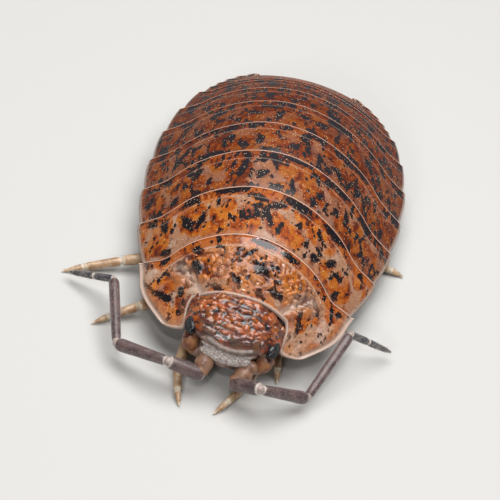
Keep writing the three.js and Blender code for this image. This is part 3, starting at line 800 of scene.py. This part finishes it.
def first_plate_depth(share, t, to_front, to_hind, edge, lobe, off_furrow):
    """Depth of the first plate's smooth forms: its furrows, edges, lifted lobes, arch and hind flange."""
    furrow = FURROW["depth"] * bell(off_furrow, FURROW["width"])
    furrow *= smooth((0.85 - t) / 0.3) * smooth((t - 0.02) / 0.1)
    rim = RIM["height"] * bell(edge - LIP["place"], LIP["width"])
    rim -= RIM["drop"] * bell(edge, RIM["drop_width"])
    rim -= RIM["dip"] * bell(edge - RIM["dip_place"], RIM["dip_width"])
    lift = LOBE_LIFT["height"] * smooth((share - LOBE_LIFT["inner"]) / LOBE_LIFT["width"])
    lift -= LOBE_LIFT["dip"] * bell(share - LOBE_LIFT["dip_share"], LOBE_LIFT["dip_width"])
    arch = ARCH["height"] * math.sin(math.pi * clamp(to_front / ARCH["length"])) * (1 - lobe)
    flange = FLANGE["height"] * smooth((FLANGE["start"] - to_hind) / FLANGE["width"]) + lip_height(to_hind)
    return furrow - rim - lift - arch - flange


def build_first_plate():
    """The first plate: a warty dome with a smooth collar, and a lobe on each side of the head."""
    bm = new_grid(*FIRST_GRID)
    layers = add_layers(bm, SHELL_LAYERS)
    for vert in bm.verts:
        across, t = vert.co.x, vert.co.y
        share = abs(across)
        hind, front = hind_edge(0, across), collar_edge(across)
        y = mix(front, hind, t)
        to_front, to_hind = (y - front) * FRONT_SLANT, hind - y
        to_side = (1 - share) * stretch_across(across, y)
        edge = min(to_front, to_side)
        lobe = smooth((share - LOBE["inner"] - LOBE_SIDE["slant"] * t) / LOBE_SIDE["width"])
        dome = smooth((to_front - DOME["front"]) / DOME["front_soft"]) * (1 - lobe)
        dome *= smooth((to_hind - DOME["hind"]) / DOME["hind_soft"])
        warty = max(dome, lobe * 0.4 * smooth((edge - 0.3) / 0.3) * smooth((to_hind - 0.25) / 0.2))
        wart = leather(shell_point(across, y, 0), DOME_LEATHER)
        off_furrow = share - FURROW["start"] - FURROW["slant"] * t
        furrow = bell(off_furrow, FURROW["pale_width"]) * smooth((0.9 - t) / 0.2)
        collar = bell(to_front - 0.25, 0.15)
        flange = smooth((0.45 - to_hind) / 0.1)
        tip = lobe * smooth((0.75 - edge) / 0.7)
        vert[layers["to_hind"]] = to_hind
        vert[layers["to_side"]] = min(to_side, to_front * 1.35 + 0.04)
        vert[layers["mark"]] = mark_at(1, across, (y - front) / (hind - front), y, hind - front)
        vert[layers["pale"]] = max(furrow, 0.5 * bell(to_front - 0.3, 0.12), 0.75 * tip)
        vert[layers["gloss"]] = max(0.75 * dome, flange, 0.8 * collar, 0.4 * lobe)
        # Painted shade in the hollows between the dome's warts, from the wart height
        vert[layers["hollow_shade"]] = dome * smooth((0.3 - wart) / 0.3)
        vert[layers["dome"]] = dome
        depth = first_plate_depth(share, t, to_front, to_hind, edge, lobe, off_furrow)
        depth -= warty * DOME_WARTS["height"] * (wart - DOME_WARTS["base"])
        vert.co = shell_point(across, y, depth)
        vert.co.x += side_flare(across, y)
    return finish_piece(bm, "plate_1", SHELL, ["thorax_plate_1"], thickness=PLATE_THICK)


# Abdomen and tail
PLEON_GRID = (130, 20)
PLEON_PLATES = 5
PLEON_START = HIND_EDGES[6] + 0.22
PLEON_STEP = (PLEON_END - PLEON_START) / PLEON_PLATES
PLEON_SWEEP = {"inner": 0.66, "width": 0.2, "reach": 0.55}  # the plates' sides point back
PLEON_LAP = 0.22
PLEON_TUCK = 0.13
PLEON_THICK = 0.06
PLEON_TURN = 0.04
TAIL_HALF = (1.05, 0.5)  # half width of the tail plate at its root and tip
TAIL_THICK = 0.2
FLAP_SIDE = {"inner": 0.1, "root": 0.95, "tip": 0.6}  # a tail flap's gap to the plate, and its widths
FLAP_THICK = 0.3


def pleon_edge(k, across):
    """Hind edge of abdominal plate k, 0 being the last thoracic plate's own edge."""
    if k == 0:
        return hind_edge(6, across)
    start = hind_edge(6, across) - HIND_EDGES[6]
    sweep = PLEON_SWEEP["reach"] * smooth((abs(across) - PLEON_SWEEP["inner"]) / PLEON_SWEEP["width"])
    return PLEON_START + PLEON_STEP * k + mix(start, sweep, k / PLEON_PLATES)


def build_pleonite(k):
    bm = new_grid(*PLEON_GRID)
    layers = add_layers(bm, SHELL_LAYERS)
    for vert in bm.verts:
        across, t = vert.co.x, vert.co.y
        share = abs(across)
        hind = pleon_edge(k, across)
        y = mix(pleon_edge(k - 1, across) - PLEON_LAP, hind, t)
        turn = PLEON_TURN * smooth((share - SIDE_TURN["inner"]) / (1 - SIDE_TURN["inner"]))
        vert[layers["to_hind"]] = hind - y
        vert[layers["to_side"]] = (1 - share) * stretch_across(across, y)
        vert[layers["seed"]] = 90 + 7.7 * k
        vert[layers["rear_tone_and_shade"]] = 1.0
        vert.co = shell_point(across, y, plate_profile(t, hind - y, PLEON_TUCK) + turn)
    nodes = ["abdomen"] if k == 1 else []
    return finish_piece(bm, f"abdomen_plate_{k}", SHELL, nodes, thickness=PLEON_THICK)


def build_tail():
    bm = new_grid(40, 24)
    layers = add_layers(bm, SHELL_LAYERS)
    root_height = EDGE_HEIGHT + crown(PLEON_END) - 0.02
    for vert in bm.verts:
        across, t = vert.co.x, vert.co.y
        half = mix(*TAIL_HALF, t**0.8) * mix(1, 0.9, smooth((t - 0.8) / 0.2))
        place = mix(PLEON_END - 0.1, TAIL_END, t) - 0.1 * across * across * t
        top = mix(root_height, EDGE_HEIGHT + 0.14, t) - 0.2 * across * across
        top += 0.05 * math.sin(math.pi * t)
        vert[layers["to_hind"]] = TAIL_END - place
        vert[layers["to_side"]] = (1 - abs(across)) * half + 0.12
        vert[layers["seed"]] = 140
        vert[layers["rear_tone_and_shade"]] = 1.0
        vert.co = (half * across, place, top)
    return finish_piece(bm, "tail", SHELL, ["tail_plate"], thickness=TAIL_THICK)


def build_tail_limb(name, side):
    """A flat flap that fills the space between the tail plate and the last abdominal plate's side."""
    bm = bmesh.new()
    bmesh.ops.create_cube(bm, size=1.0)
    bmesh.ops.subdivide_edges(bm, edges=bm.edges, cuts=3, use_grid_fill=True)
    layers = add_layers(bm, SHELL_LAYERS)
    for vert in bm.verts:
        x, t, z = vert.co.x + 0.5, vert.co.y + 0.5, vert.co.z
        inner = mix(1.0, 0.55, t**0.8) + FLAP_SIDE["inner"]
        place = mix(PLEON_END - 0.12, TAIL_END - 0.08, t) + 0.12 * x * (1 - t) - 0.12 * x * t
        top = mix(EDGE_HEIGHT + 0.56, EDGE_HEIGHT + 0.06, t) - 0.06 * (2 * x - 1) ** 2 - 0.16 * x * (1 - t)
        wide = mix(FLAP_SIDE["root"], FLAP_SIDE["tip"], t)
        vert.co = (side * (inner + wide * x), place, top + (z - 0.5) * FLAP_THICK)
        vert[layers["to_hind"]] = TAIL_END - place
        vert[layers["to_side"]] = 0.2 + 0.4 * (1 - x)
        vert[layers["seed"]] = 150 + 9 * side
        vert[layers["rear_tone_and_shade"]] = 1.0
    if side < 0:
        bmesh.ops.reverse_faces(bm, faces=bm.faces)
    return finish_piece(bm, f"tail_flap_{name}", SHELL, [f"tail_limb_{name}"], levels=2)


# Underside: the soft body under the plates, with a ridge across it under each plate's edge
BELLY_RINGS = 150
BELLY_SIDE = 0.8  # share across at which the belly meets the plates
BELLY_DEPTH = 0.36
BELLY_RIDGE = {"height": 0.14, "width": 0.12}
GILL = {"half": 0.82, "taper": 0.05, "step": 0.02, "length": 0.3, "thick": 0.12, "slope": 0.16}


def build_belly():
    bm = bmesh.new()
    bmesh.ops.create_cone(bm, cap_ends=True, segments=72, radius1=1, radius2=1, depth=1)
    upright = [edge for edge in bm.edges if abs(edge.verts[0].co.z - edge.verts[1].co.z) > 0.5]
    bmesh.ops.subdivide_edges(bm, edges=upright, cuts=BELLY_RINGS)
    front, back = NECK_Y + 0.2, PLEON_END - 0.25
    for vert in bm.verts:
        x, ring, y_round = vert.co.x, vert.co.z + 0.5, vert.co.y
        y = mix(front, back, ring)
        across = BELLY_SIDE * math.copysign(abs(x) ** 0.8, x)
        roof = shell_point(across, y, BELLY_DEPTH)
        level = shell_point(BELLY_SIDE, y, BELLY_DEPTH).z
        to_segment = min(abs(y - edge) for edge in HIND_EDGES)
        floor = min(BELLY_HEIGHT, level) - 0.02 + 0.05 * math.cos(across * 6)
        floor += BELLY_RIDGE["height"] * bell(to_segment, BELLY_RIDGE["width"])
        target = roof.z if y_round > 0 else floor
        vert.co = (roof.x, y, mix(level, target, abs(y_round) ** 0.55))
    bmesh.ops.recalc_face_normals(bm, faces=bm.faces)
    return finish_piece(bm, "belly", UNDER_CREAM)


def gill_flap(k, side):
    """One flap: flat, bowed back in the middle and sloping down to its hind edge."""
    y = PLEON_START + 0.28 + PLEON_STEP * k
    half = GILL["half"] - GILL["taper"] * k
    level = max(EDGE_HEIGHT + crown(y) - 1.2, EDGE_HEIGHT) - 0.32 - GILL["step"] * k
    flap = new_ball(24, 12)
    for vert in flap.verts:
        x, along, z = vert.co
        place = y + GILL["length"] * along + 0.12 * (1 - x * x) + 0.06 * x * x
        height = level + GILL["thick"] * z - GILL["slope"] * along
        vert.co = (side * (half * 1.02 + half * x), place, height)
    if side < 0:
        bmesh.ops.reverse_faces(flap, faces=flap.faces)
    return flap


def build_gills():
    """Five pairs of pale flaps, each lying over the front of the next."""
    whole = bmesh.new()
    for k in range(PLEON_PLATES):
        for _, side in SIDES:
            merge_into(whole, gill_flap(k, side))
    return finish_piece(whole, "gills", GILL_WHITE, ["gill_plates"])


# Tubes
ANY_NORMAL = Vector((0.31, 0.17, 0.93))  # a heading that no limb has
HAIR_FLOOR = 0.03  # hairs whose tips would be lower are left out


def sweep(stations, sides=14):
    """A closed tube through (place, radius) stations, with its distance from the nearer end on each point."""
    bm = bmesh.new()
    last = len(stations) - 1
    bmesh.ops.create_cone(bm, cap_ends=True, segments=sides, radius1=1, radius2=1, depth=last)
    upright = [edge for edge in bm.edges if abs(edge.verts[0].co.z - edge.verts[1].co.z) > 0.5]
    if last > 1:
        bmesh.ops.subdivide_edges(bm, edges=upright, cuts=last - 1)
    axes = []
    for i in range(last + 1):
        axes.append((stations[min(i + 1, last)][0] - stations[max(i - 1, 0)][0]).normalized())
    normal = ANY_NORMAL
    frames = []
    for axis in axes:
        normal = (normal - axis * normal.dot(axis)).normalized()
        frames.append((normal, axis.cross(normal)))
    layers = add_layers(bm, ["to_end"])
    for vert in bm.verts:
        i = min(last, max(0, round(vert.co.z + last / 2)))
        place, radius = stations[i]
        n, b = frames[i]
        vert[layers["to_end"]] = min((place - stations[0][0]).length, (place - stations[last][0]).length)
        vert.co = place + b * (radius * vert.co.y) + n * (radius * vert.co.x)
    return bm


def article(start, end, profile, steps=12):
    """Stations along one length of a limb. The profile gives its radius by the share of its length."""
    stations = []
    for i in range(steps + 1):
        t = i / steps
        lower = max((stop for stop in profile if stop[0] <= t), key=lambda stop: stop[0])
        upper = min((stop for stop in profile if stop[0] >= t), key=lambda stop: stop[0])
        gap = upper[0] - lower[0]
        radius = lower[1] if gap == 0 else mix(lower[1], upper[1], smooth((t - lower[0]) / gap))
        stations.append((start.lerp(end, t), radius))
    return stations


def new_limb():
    whole = bmesh.new()
    add_layers(whole, ["to_end"])
    return whole


def bristles(whole, stations, count, long, thick, lean):
    """Stiff hairs round a length of a limb, leaning towards its end. Their roots sit under its skin."""
    for _ in range(count):
        i = draw.randrange(1, len(stations) - 1)
        share = draw.random()
        angle = draw.uniform(0, 2 * math.pi)
        size = draw.uniform(0.65, 1.25)
        place = stations[i][0].lerp(stations[i + 1][0], share)
        radius = mix(stations[i][1], stations[i + 1][1], share)
        axis = (stations[i + 1][0] - stations[i][0]).normalized()
        side = axis.orthogonal().normalized()
        out = (side * math.cos(angle) + axis.cross(side) * math.sin(angle)).normalized()
        heading = (out + axis * lean).normalized()
        root = place + out * radius * 0.9
        if (root + heading * long * size).z > HAIR_FLOOR:
            merge_into(whole, spike(root, heading, long * size, thick))


def spike(root, heading, long, thick):
    bm = bmesh.new()
    bmesh.ops.create_cone(bm, cap_ends=True, segments=4, radius1=thick, radius2=thick * 0.12, depth=long)
    turn = heading.to_track_quat("Z", "Y").to_matrix().to_4x4()
    bmesh.ops.transform(bm, matrix=Matrix.Translation(root + heading * long / 2) @ turn, verts=bm.verts)
    return bm


# Legs
HIP_SHARE = 0.42
KNEE_SHARE = 0.27
LEG_LEVELS = (0.98, 0.56, 0.4, 0.22)
LEG_REACH = (0.36, 0.63, 0.86)
FIRST_BOW = 0.55
LEG_WIDTHS = (0.27, 0.24, 0.215, 0.18, 0.13, 0.09)
SOLE = 0.05  # height of the middle of a claw's tip over the floor
CLAW_ROOT = 0.052
CLAW_TIP = 0.012
LEG_LENGTHS = 5
SPINE = {"long": 0.15, "shorter": 0.018, "thick": 0.014, "lean": 0.9, "count": 7, "more": 4}


def leg_joints(n, side, foot):
    start = NECK_Y + 0.6 if n == 0 else HIND_EDGES[n - 1]
    y = (start + HIND_EDGES[n]) / 2
    wide = half_width(y)
    hip = Vector((side * HIP_SHARE * wide, y, BELLY_HEIGHT + 0.05))
    knee = Vector((side * KNEE_SHARE * wide, y - 0.25, LEG_LEVELS[0]))
    end = Vector((foot[0], foot[1], SOLE))
    bow = side * FIRST_BOW if n == 0 else 0.0
    joints = [hip, knee]
    for share, level in zip(LEG_REACH, LEG_LEVELS[1:]):
        joint = knee.lerp(end, share)
        joint.x += bow * math.sin(math.pi * share)
        joint.z = level
        joints.append(joint)
    return joints + [end]


def leg_profile(i):
    """Radius along length i of a leg by the share of it. The last length narrows to a claw."""
    r0, r1 = LEG_WIDTHS[i], LEG_WIDTHS[i + 1]
    if i < LEG_LENGTHS - 1:
        return [(0, r0 * 0.66), (0.16, r0 * 0.98), (0.5, (r0 + r1) / 2), (0.86, r1 * 1.12), (1, r1 * 0.76)]
    foot = [(0, r0 * 0.7), (0.15, r0 * 0.95), (0.55, r0 * 0.7), (0.72, r0 * 0.42)]
    return foot + [(0.78, CLAW_ROOT), (1, CLAW_TIP)]


def build_leg(name, n, side, foot):
    """Five lengths from the hip out, the last with its claw, and stiff spines on the outer ones."""
    whole = new_limb()
    joints = leg_joints(n, side, foot)
    spines = bmesh.new()
    for i in range(LEG_LENGTHS):
        end = joints[i + 1]
        if i < LEG_LENGTHS - 1:
            end = end + (end - joints[i]).normalized() * 0.05
        stations = article(joints[i], end, leg_profile(i))
        if i > 1:
            count = SPINE["count"] + SPINE["more"] * (i - 1)
            long = SPINE["long"] - SPINE["shorter"] * i
            bristles(spines, stations, count, long, SPINE["thick"], SPINE["lean"])
        merge_into(whole, sweep(stations))
    finish_piece(spines, f"{name}_limb_{n + 1}_spines", HAIR_PALE)
    return finish_piece(whole, f"{name}_limb_{n + 1}", LEG_STRAW, [f"leg_{name}_{n + 1}"], levels=1)


# Head
HEAD_CENTRE = Vector((0, -7.75, 1.74))
HEAD_HALF = Vector((1.66, 0.98, 0.78))
HEAD_SQUARE = 2.6
HEAD_NECK = 0.96
HEAD_RISE = 0.42
CHIN_RECEDE = 0.5
CHEEK_RECEDE = 0.2
HEAD_ROLL = math.radians(4)  # the animal holds its head a little down on its left
ROLL = Matrix.Rotation(HEAD_ROLL, 4, "Y")
HEAD_TURN = Matrix.Translation(HEAD_CENTRE) @ ROLL @ Matrix.Translation(-HEAD_CENTRE)
BROW_Y = -8.74
BROW_Z = 2.0
BROW_HALF = 0.82
BROW_BACK = 0.13
BROW_UP = 0.16
BROW_THICK = 0.08
BROW_STEPS = 12
BROW_FALL = 0.8  # slope of the crown's lower edge beyond the brow's ends
SKIN_VOXEL = 0.028
HEAD_WARTS = {"height": 0.09, "base": 0.25}


def skull_point(direction):
    """The skull's surface in a direction: a rounded block whose top rises to the neck."""
    length = sum(abs(c) ** HEAD_SQUARE for c in direction) ** (1 / HEAD_SQUARE)
    x, y, z = (c / length * half for c, half in zip(direction, HEAD_HALF))
    narrow = mix(1, HEAD_NECK, smooth((y + 0.1) / 0.6))
    rise = 0.0
    if z > 0:
        rise = HEAD_RISE * (y + HEAD_HALF.y) * (z / HEAD_HALF.z) * (1 - 0.5 * (x / HEAD_HALF.x) ** 2)
    recede = CHIN_RECEDE * smooth((0.3 - z) / 0.5) * smooth(-y / HEAD_HALF.y)
    recede += CHEEK_RECEDE * (x / HEAD_HALF.x) ** 2
    return Vector((x * narrow, y + recede, z + rise)) + HEAD_CENTRE


def melt(shape, voxel, passes):
    """Fuses a shape's overlapping parts into one skin of even faces and softens it."""
    spare = bpy.data.meshes.new("spare")
    shape.to_mesh(spare)
    shape.free()
    holder = bpy.data.objects.new("spare", spare)
    bpy.context.scene.collection.objects.link(holder)
    remesh = holder.modifiers.new("even", "REMESH")
    remesh.mode = "VOXEL"
    remesh.voxel_size = voxel
    even = bpy.data.meshes.new_from_object(holder.evaluated_get(bpy.context.evaluated_depsgraph_get()))
    bm = bmesh.new()
    bm.from_mesh(even)
    for _ in range(passes):
        axes = {"use_axis_x": True, "use_axis_y": True, "use_axis_z": True}
        bmesh.ops.smooth_vert(bm, verts=bm.verts, factor=0.5, **axes)
    bpy.data.objects.remove(holder)
    bpy.data.meshes.remove(spare)
    bpy.data.meshes.remove(even)
    return bm


def ball_at(place, half, turn=(0, 0, 0)):
    bm = new_ball(24, 16)
    bmesh.ops.scale(bm, verts=bm.verts, vec=half)
    for axis, angle in zip("XYZ", turn):
        bmesh.ops.rotate(bm, verts=bm.verts, matrix=Matrix.Rotation(angle, 3, axis))
    bmesh.ops.translate(bm, verts=bm.verts, vec=place)
    return bm


def brow_line(share):
    """The thin ridge over the face, swept back and up towards the eyes."""
    return Vector((share * BROW_HALF, BROW_Y + BROW_BACK * share**2, BROW_Z + BROW_UP * share**2))


def brow_distance(point):
    share = max(-1.0, min(1.0, point.x / BROW_HALF))
    return (point - brow_line(share)).length


# The shield under the brow: a rounded triangle, its point down
SHIELD_MIDDLE = Vector((-0.03, -8.53, 1.5))
SHIELD_HALF = (0.95, 0.23, 0.34)


def shield_share(point):
    x, z = point.x - SHIELD_MIDDLE.x, point.z - SHIELD_MIDDLE.z
    wide = SHIELD_HALF[0] * mix(0.45, 1.0, clamp((z + SHIELD_HALF[2]) / (1.3 * SHIELD_HALF[2])))
    inside = 1 - max(abs(x) / wide, abs(z) / SHIELD_HALF[2])
    return smooth(inside / 0.14) * smooth((-8.3 - point.y) / 0.1)


def head_shape():
    """The skull, neck, brow, cheeks, shield and chin as one skin."""
    whole = new_ball(64, 40)
    bmesh.ops.rotate(whole, verts=whole.verts, matrix=Matrix.Rotation(math.pi / 2, 3, "X"))
    for vert in whole.verts:
        vert.co = skull_point(vert.co)
    merge_into(whole, ball_at((0, -6.95, 1.93), (1.74, 1.15, 0.78)))
    brow = []
    for i in range(2 * BROW_STEPS + 1):
        share = i / BROW_STEPS - 1
        brow.append((brow_line(share), BROW_THICK - 0.03 * abs(share) ** 3))
    merge_into(whole, sweep(brow))
    for _, side in SIDES:
        merge_into(whole, ball_at((side * 1.3, -8.2, 1.42), (0.3, 0.3, 0.4), (0, side * 0.2, 0)))
        merge_into(whole, ball_at((side * 1.0, -8.12, 1.1), (0.4, 0.34, 0.26)))
    merge_into(whole, ball_at(SHIELD_MIDDLE, SHIELD_HALF, (0.25, 0, 0)))
    merge_into(whole, ball_at((0, -8.36, 1.76), (1.0, 0.24, 0.28)))
    merge_into(whole, ball_at((0, -8.3, 1.06), (0.45, 0.24, 0.2)))
    return melt(whole, SKIN_VOXEL, 3)


def crown_edge(p):
    """The point on the crown's lower edge nearest a place: the brow, falling away beyond its ends."""
    line = brow_line(max(-1.0, min(1.0, p.x / BROW_HALF)))
    line.z -= BROW_FALL * max(0.0, abs(p.x) - BROW_HALF)
    return line


def to_eye(p):
    """Distance from the nearer eye."""
    return min((p - Vector((side * EYE["x"], EYE["y"], EYE["z"]))).length for _, side in SIDES)


def build_head():
    bm = head_shape()
    layers = add_layers(bm, FACE_LAYERS)
    bm.normal_update()
    for vert in bm.verts:
        p = vert.co.copy()
        line = crown_edge(p)
        back = p.y - line.y
        top = smooth((p.z - line.z + 0.3 * back - 0.02) / 0.08) * smooth((back - 0.02) / 0.1)
        wart = leather(p, HEAD_LEATHER)
        lobe = smooth((1.15 - math.hypot((abs(p.x) - 1.34) / 0.32, (p.z - 1.4) / 0.4)) / 0.3)
        vert[layers["crown"]] = top
        # Painted shade in the hollows between the crown's warts, from the wart height
        vert[layers["hollow_shade"]] = top * smooth((0.45 - wart) / 0.35)
        vert[layers["brow"]] = smooth((0.1 - brow_distance(p)) / 0.05)
        vert[layers["shield"]] = shield_share(p)
        vert[layers["lobe"]] = lobe * (1 - top) * smooth((-7.95 - p.y) / 0.1)
        vert[layers["height"]] = smooth(back / 0.6)
        relief = HEAD_WARTS["height"] * (wart - HEAD_WARTS["base"]) * top
        relief *= smooth((back - 0.05) / 0.25) * smooth((to_eye(p) - 0.3) / 0.25)
        vert.co = HEAD_TURN @ (p + vert.normal * relief)
    return finish_piece(bm, "skull", HEAD_SKIN, ["head"])


def build_mouth():
    # The mouthparts are painted near black: painted shade, for the shadow they lie in under the head
    whole = bmesh.new()
    for _, side in SIDES:
        # The palp, the lip before it and the jaw beside them
        merge_into(whole, ball_at((side * 0.27, -7.7, 0.72), (0.31, 0.52, 0.17)))
        merge_into(whole, ball_at((side * 0.2, -8.1, 0.82), (0.17, 0.22, 0.14)))
        merge_into(whole, ball_at((side * 0.5, -7.85, 0.82), (0.14, 0.4, 0.14), (0, 0, side * 0.2)))
    return finish_piece(whole, "mouth_plates", MOUTH_PAINTED_SHADE, ["mouthparts"])


def eye_matrix(side):
    turn = Matrix.Rotation(-side * EYE["yaw"], 4, "Z")
    tilt = Matrix.Rotation(-side * EYE["roll"], 4, "Y")
    return HEAD_TURN @ Matrix.Translation((side * EYE["x"], EYE["y"], EYE["z"])) @ tilt @ turn


# Height of each row of lenses, and how many it has
EYE_ROWS = ((-0.136, 6), (-0.068, 8), (0.0, 9), (0.068, 8), (0.136, 6))
LENS_STEP = 0.076
LENS_RADIUS = 0.042


def build_eye(name, side):
    """An oval mound with its round lenses set in rows, each row between those beside it."""
    whole = new_ball(32, 20)
    bmesh.ops.scale(whole, verts=whole.verts, vec=(EYE["deep"], EYE["long"], EYE["wide"]))
    for height, count in EYE_ROWS:
        for i in range(count):
            along = (i - (count - 1) / 2) * LENS_STEP
            out = math.sqrt(max(0.02, 1 - (along / EYE["long"]) ** 2 - (height / EYE["wide"]) ** 2))
            lens = bmesh.new()
            bmesh.ops.create_icosphere(lens, subdivisions=3, radius=LENS_RADIUS)
            place = (side * EYE["deep"] * out * 0.97, along, height)
            bmesh.ops.translate(lens, verts=lens.verts, vec=place)
            merge_into(whole, lens)
    bmesh.ops.transform(whole, matrix=eye_matrix(side), verts=whole.verts)
    return finish_piece(whole, f"{name}_eye", EYE_BLACK, [f"eye_{name}"])


# Feelers
FEELER_PROFILES = {
    "third": [(0, 0.2), (0.14, 0.26), (0.6, 0.25), (0.9, 0.24), (1, 0.19)],
    "fourth": [(0, 0.14), (0.08, 0.19), (0.5, 0.21), (0.92, 0.235), (1, 0.17)],
    "fifth": [(0, 0.12), (0.07, 0.165), (0.5, 0.185), (0.94, 0.19), (1, 0.13)],
    "lash_first": [(0, 0.1), (0.1, 0.135), (0.9, 0.13), (1, 0.1)],
    "lash_second": [(0, 0.1), (0.08, 0.125), (0.7, 0.095), (0.92, 0.05), (1, 0.015)],
}


HAIR = {"long": 0.07, "thick": 0.007, "lean": 0.7}
HAIRS = {"third": 60, "fourth": 150, "fifth": 260, "lash_first": 110, "lash_second": 130}


def build_length(side, part, start, end, material, nodes):
    """One length of a feeler with its fine hairs."""
    name = f"{side}_feeler_{part}"
    whole = new_limb()
    stations = article(start, end, FEELER_PROFILES[part], 18)
    merge_into(whole, sweep(stations, 18))
    coat = bmesh.new()
    bristles(coat, stations, HAIRS[part], HAIR["long"], HAIR["thick"], HAIR["lean"])
    finish_piece(coat, f"{name}_hairs", HAIR_PALE)
    return finish_piece(whole, name, material, nodes, levels=1)


def build_feeler(name):
    socket, second, third, fourth, fifth, tip = (Vector(joint) for joint in FEELERS[name])
    base = bmesh.new()
    inner = socket + (socket - second).normalized() * 0.12
    merge_into(base, ball_at(inner, (0.3, 0.26, 0.26)))
    merge_into(base, ball_at(socket.lerp(second, 0.35), (0.33, 0.3, 0.32)))
    merge_into(base, ball_at(socket.lerp(second, 0.85) + Vector((0, 0.05, 0.02)), (0.29, 0.27, 0.26)))
    base = melt(base, 0.025, 3)
    finish_piece(base, f"{name}_feeler_base", LOBE_BROWN, [f"feeler_{name}_base"])
    middle = fifth.lerp(tip, 0.42)
    along = (third - second).normalized()
    build_length(name, "third", second - along * 0.16, third, FEELER_SKIN, [])
    for part, start, end in (("fourth", third, fourth), ("fifth", fourth, fifth)):
        start = start + (end - start).normalized() * 0.06
        build_length(name, part, start, end, FEELER_SKIN, [f"feeler_{name}_{part}"])
    build_length(name, "lash_first", fifth, middle, LASH_SKIN, [f"feeler_{name}_lash"])
    build_length(name, "lash_second", middle, tip, LASH_SKIN, [])
    joints = bmesh.new()
    for joint, radius in ((third, 0.155), (fourth, 0.13), (fifth, 0.105), (middle, 0.085)):
        merge_into(joints, ball_at(joint, (radius, radius, radius)))
    finish_piece(joints, f"{name}_feeler_joints", JOINT_SKIN)


# Stage
FLOOR_HALF = 0.6  # metres
FLOOR_COLOUR = (0.5, 0.49, 0.47, 1)
SKY_COLOUR = (0.92, 0.95, 1.0, 1)
SKY_STRENGTH = 0.12


def build_stage():
    mesh = bpy.data.meshes.new("ground")
    bm = bmesh.new()
    bmesh.ops.create_grid(bm, x_segments=1, y_segments=1, size=FLOOR_HALF)
    bm.to_mesh(mesh)
    bm.free()
    ground = bpy.data.objects.new("ground", mesh)
    bpy.context.scene.collection.objects.link(ground)
    mesh.materials.append(Paint("ground_pale").finish(Base_Color=FLOOR_COLOUR, Roughness=0.85))
    world = bpy.data.worlds.new("studio")
    bpy.context.scene.world = world
    world.use_nodes = True
    sky = world.node_tree.nodes["Background"]
    sky.inputs["Color"].default_value = SKY_COLOUR
    sky.inputs["Strength"].default_value = SKY_STRENGTH


def add_light(name, place, aim, size, power):
    """A soft oval light, its place, aim and size in millimetres."""
    data = bpy.data.lights.new(name, "AREA")
    data.shape = "ELLIPSE"
    data.size, data.size_y = (length * MM for length in size)
    data.energy = power
    light = bpy.data.objects.new(name, data)
    bpy.context.scene.collection.objects.link(light)
    start, end = TO_ROW @ Vector(place), TO_ROW @ Vector(aim)
    turn = (end - start).to_track_quat("-Z", "Y").to_matrix().to_4x4()
    light.matrix_world = Matrix.Translation(start) @ turn


make_camera()
build_stage()
add_light("overhead", (8, 9, 92), (2, -3, 2), (130, 84), 0.155)
add_light("front", (-20, -100, 60), (0, -4, 1), (26, 26), 0.03)
add_light("flash", (-5, -62, 84), (0, -5, 2), (9, 9), 0.016)
build_first_plate()
for index in range(1, 7):
    build_plate(index)
for index in range(1, PLEON_PLATES + 1):
    build_pleonite(index)
build_tail()
build_belly()
build_gills()
build_head()
build_mouth()
for side_name, sign in SIDES:
    build_tail_limb(side_name, sign)
    build_eye(side_name, sign)
    build_feeler(side_name)
    for pair, spot in enumerate(FEET[side_name]):
        build_leg(side_name, pair, sign, spot)

bpy.context.scene.view_settings.view_transform = "Standard"
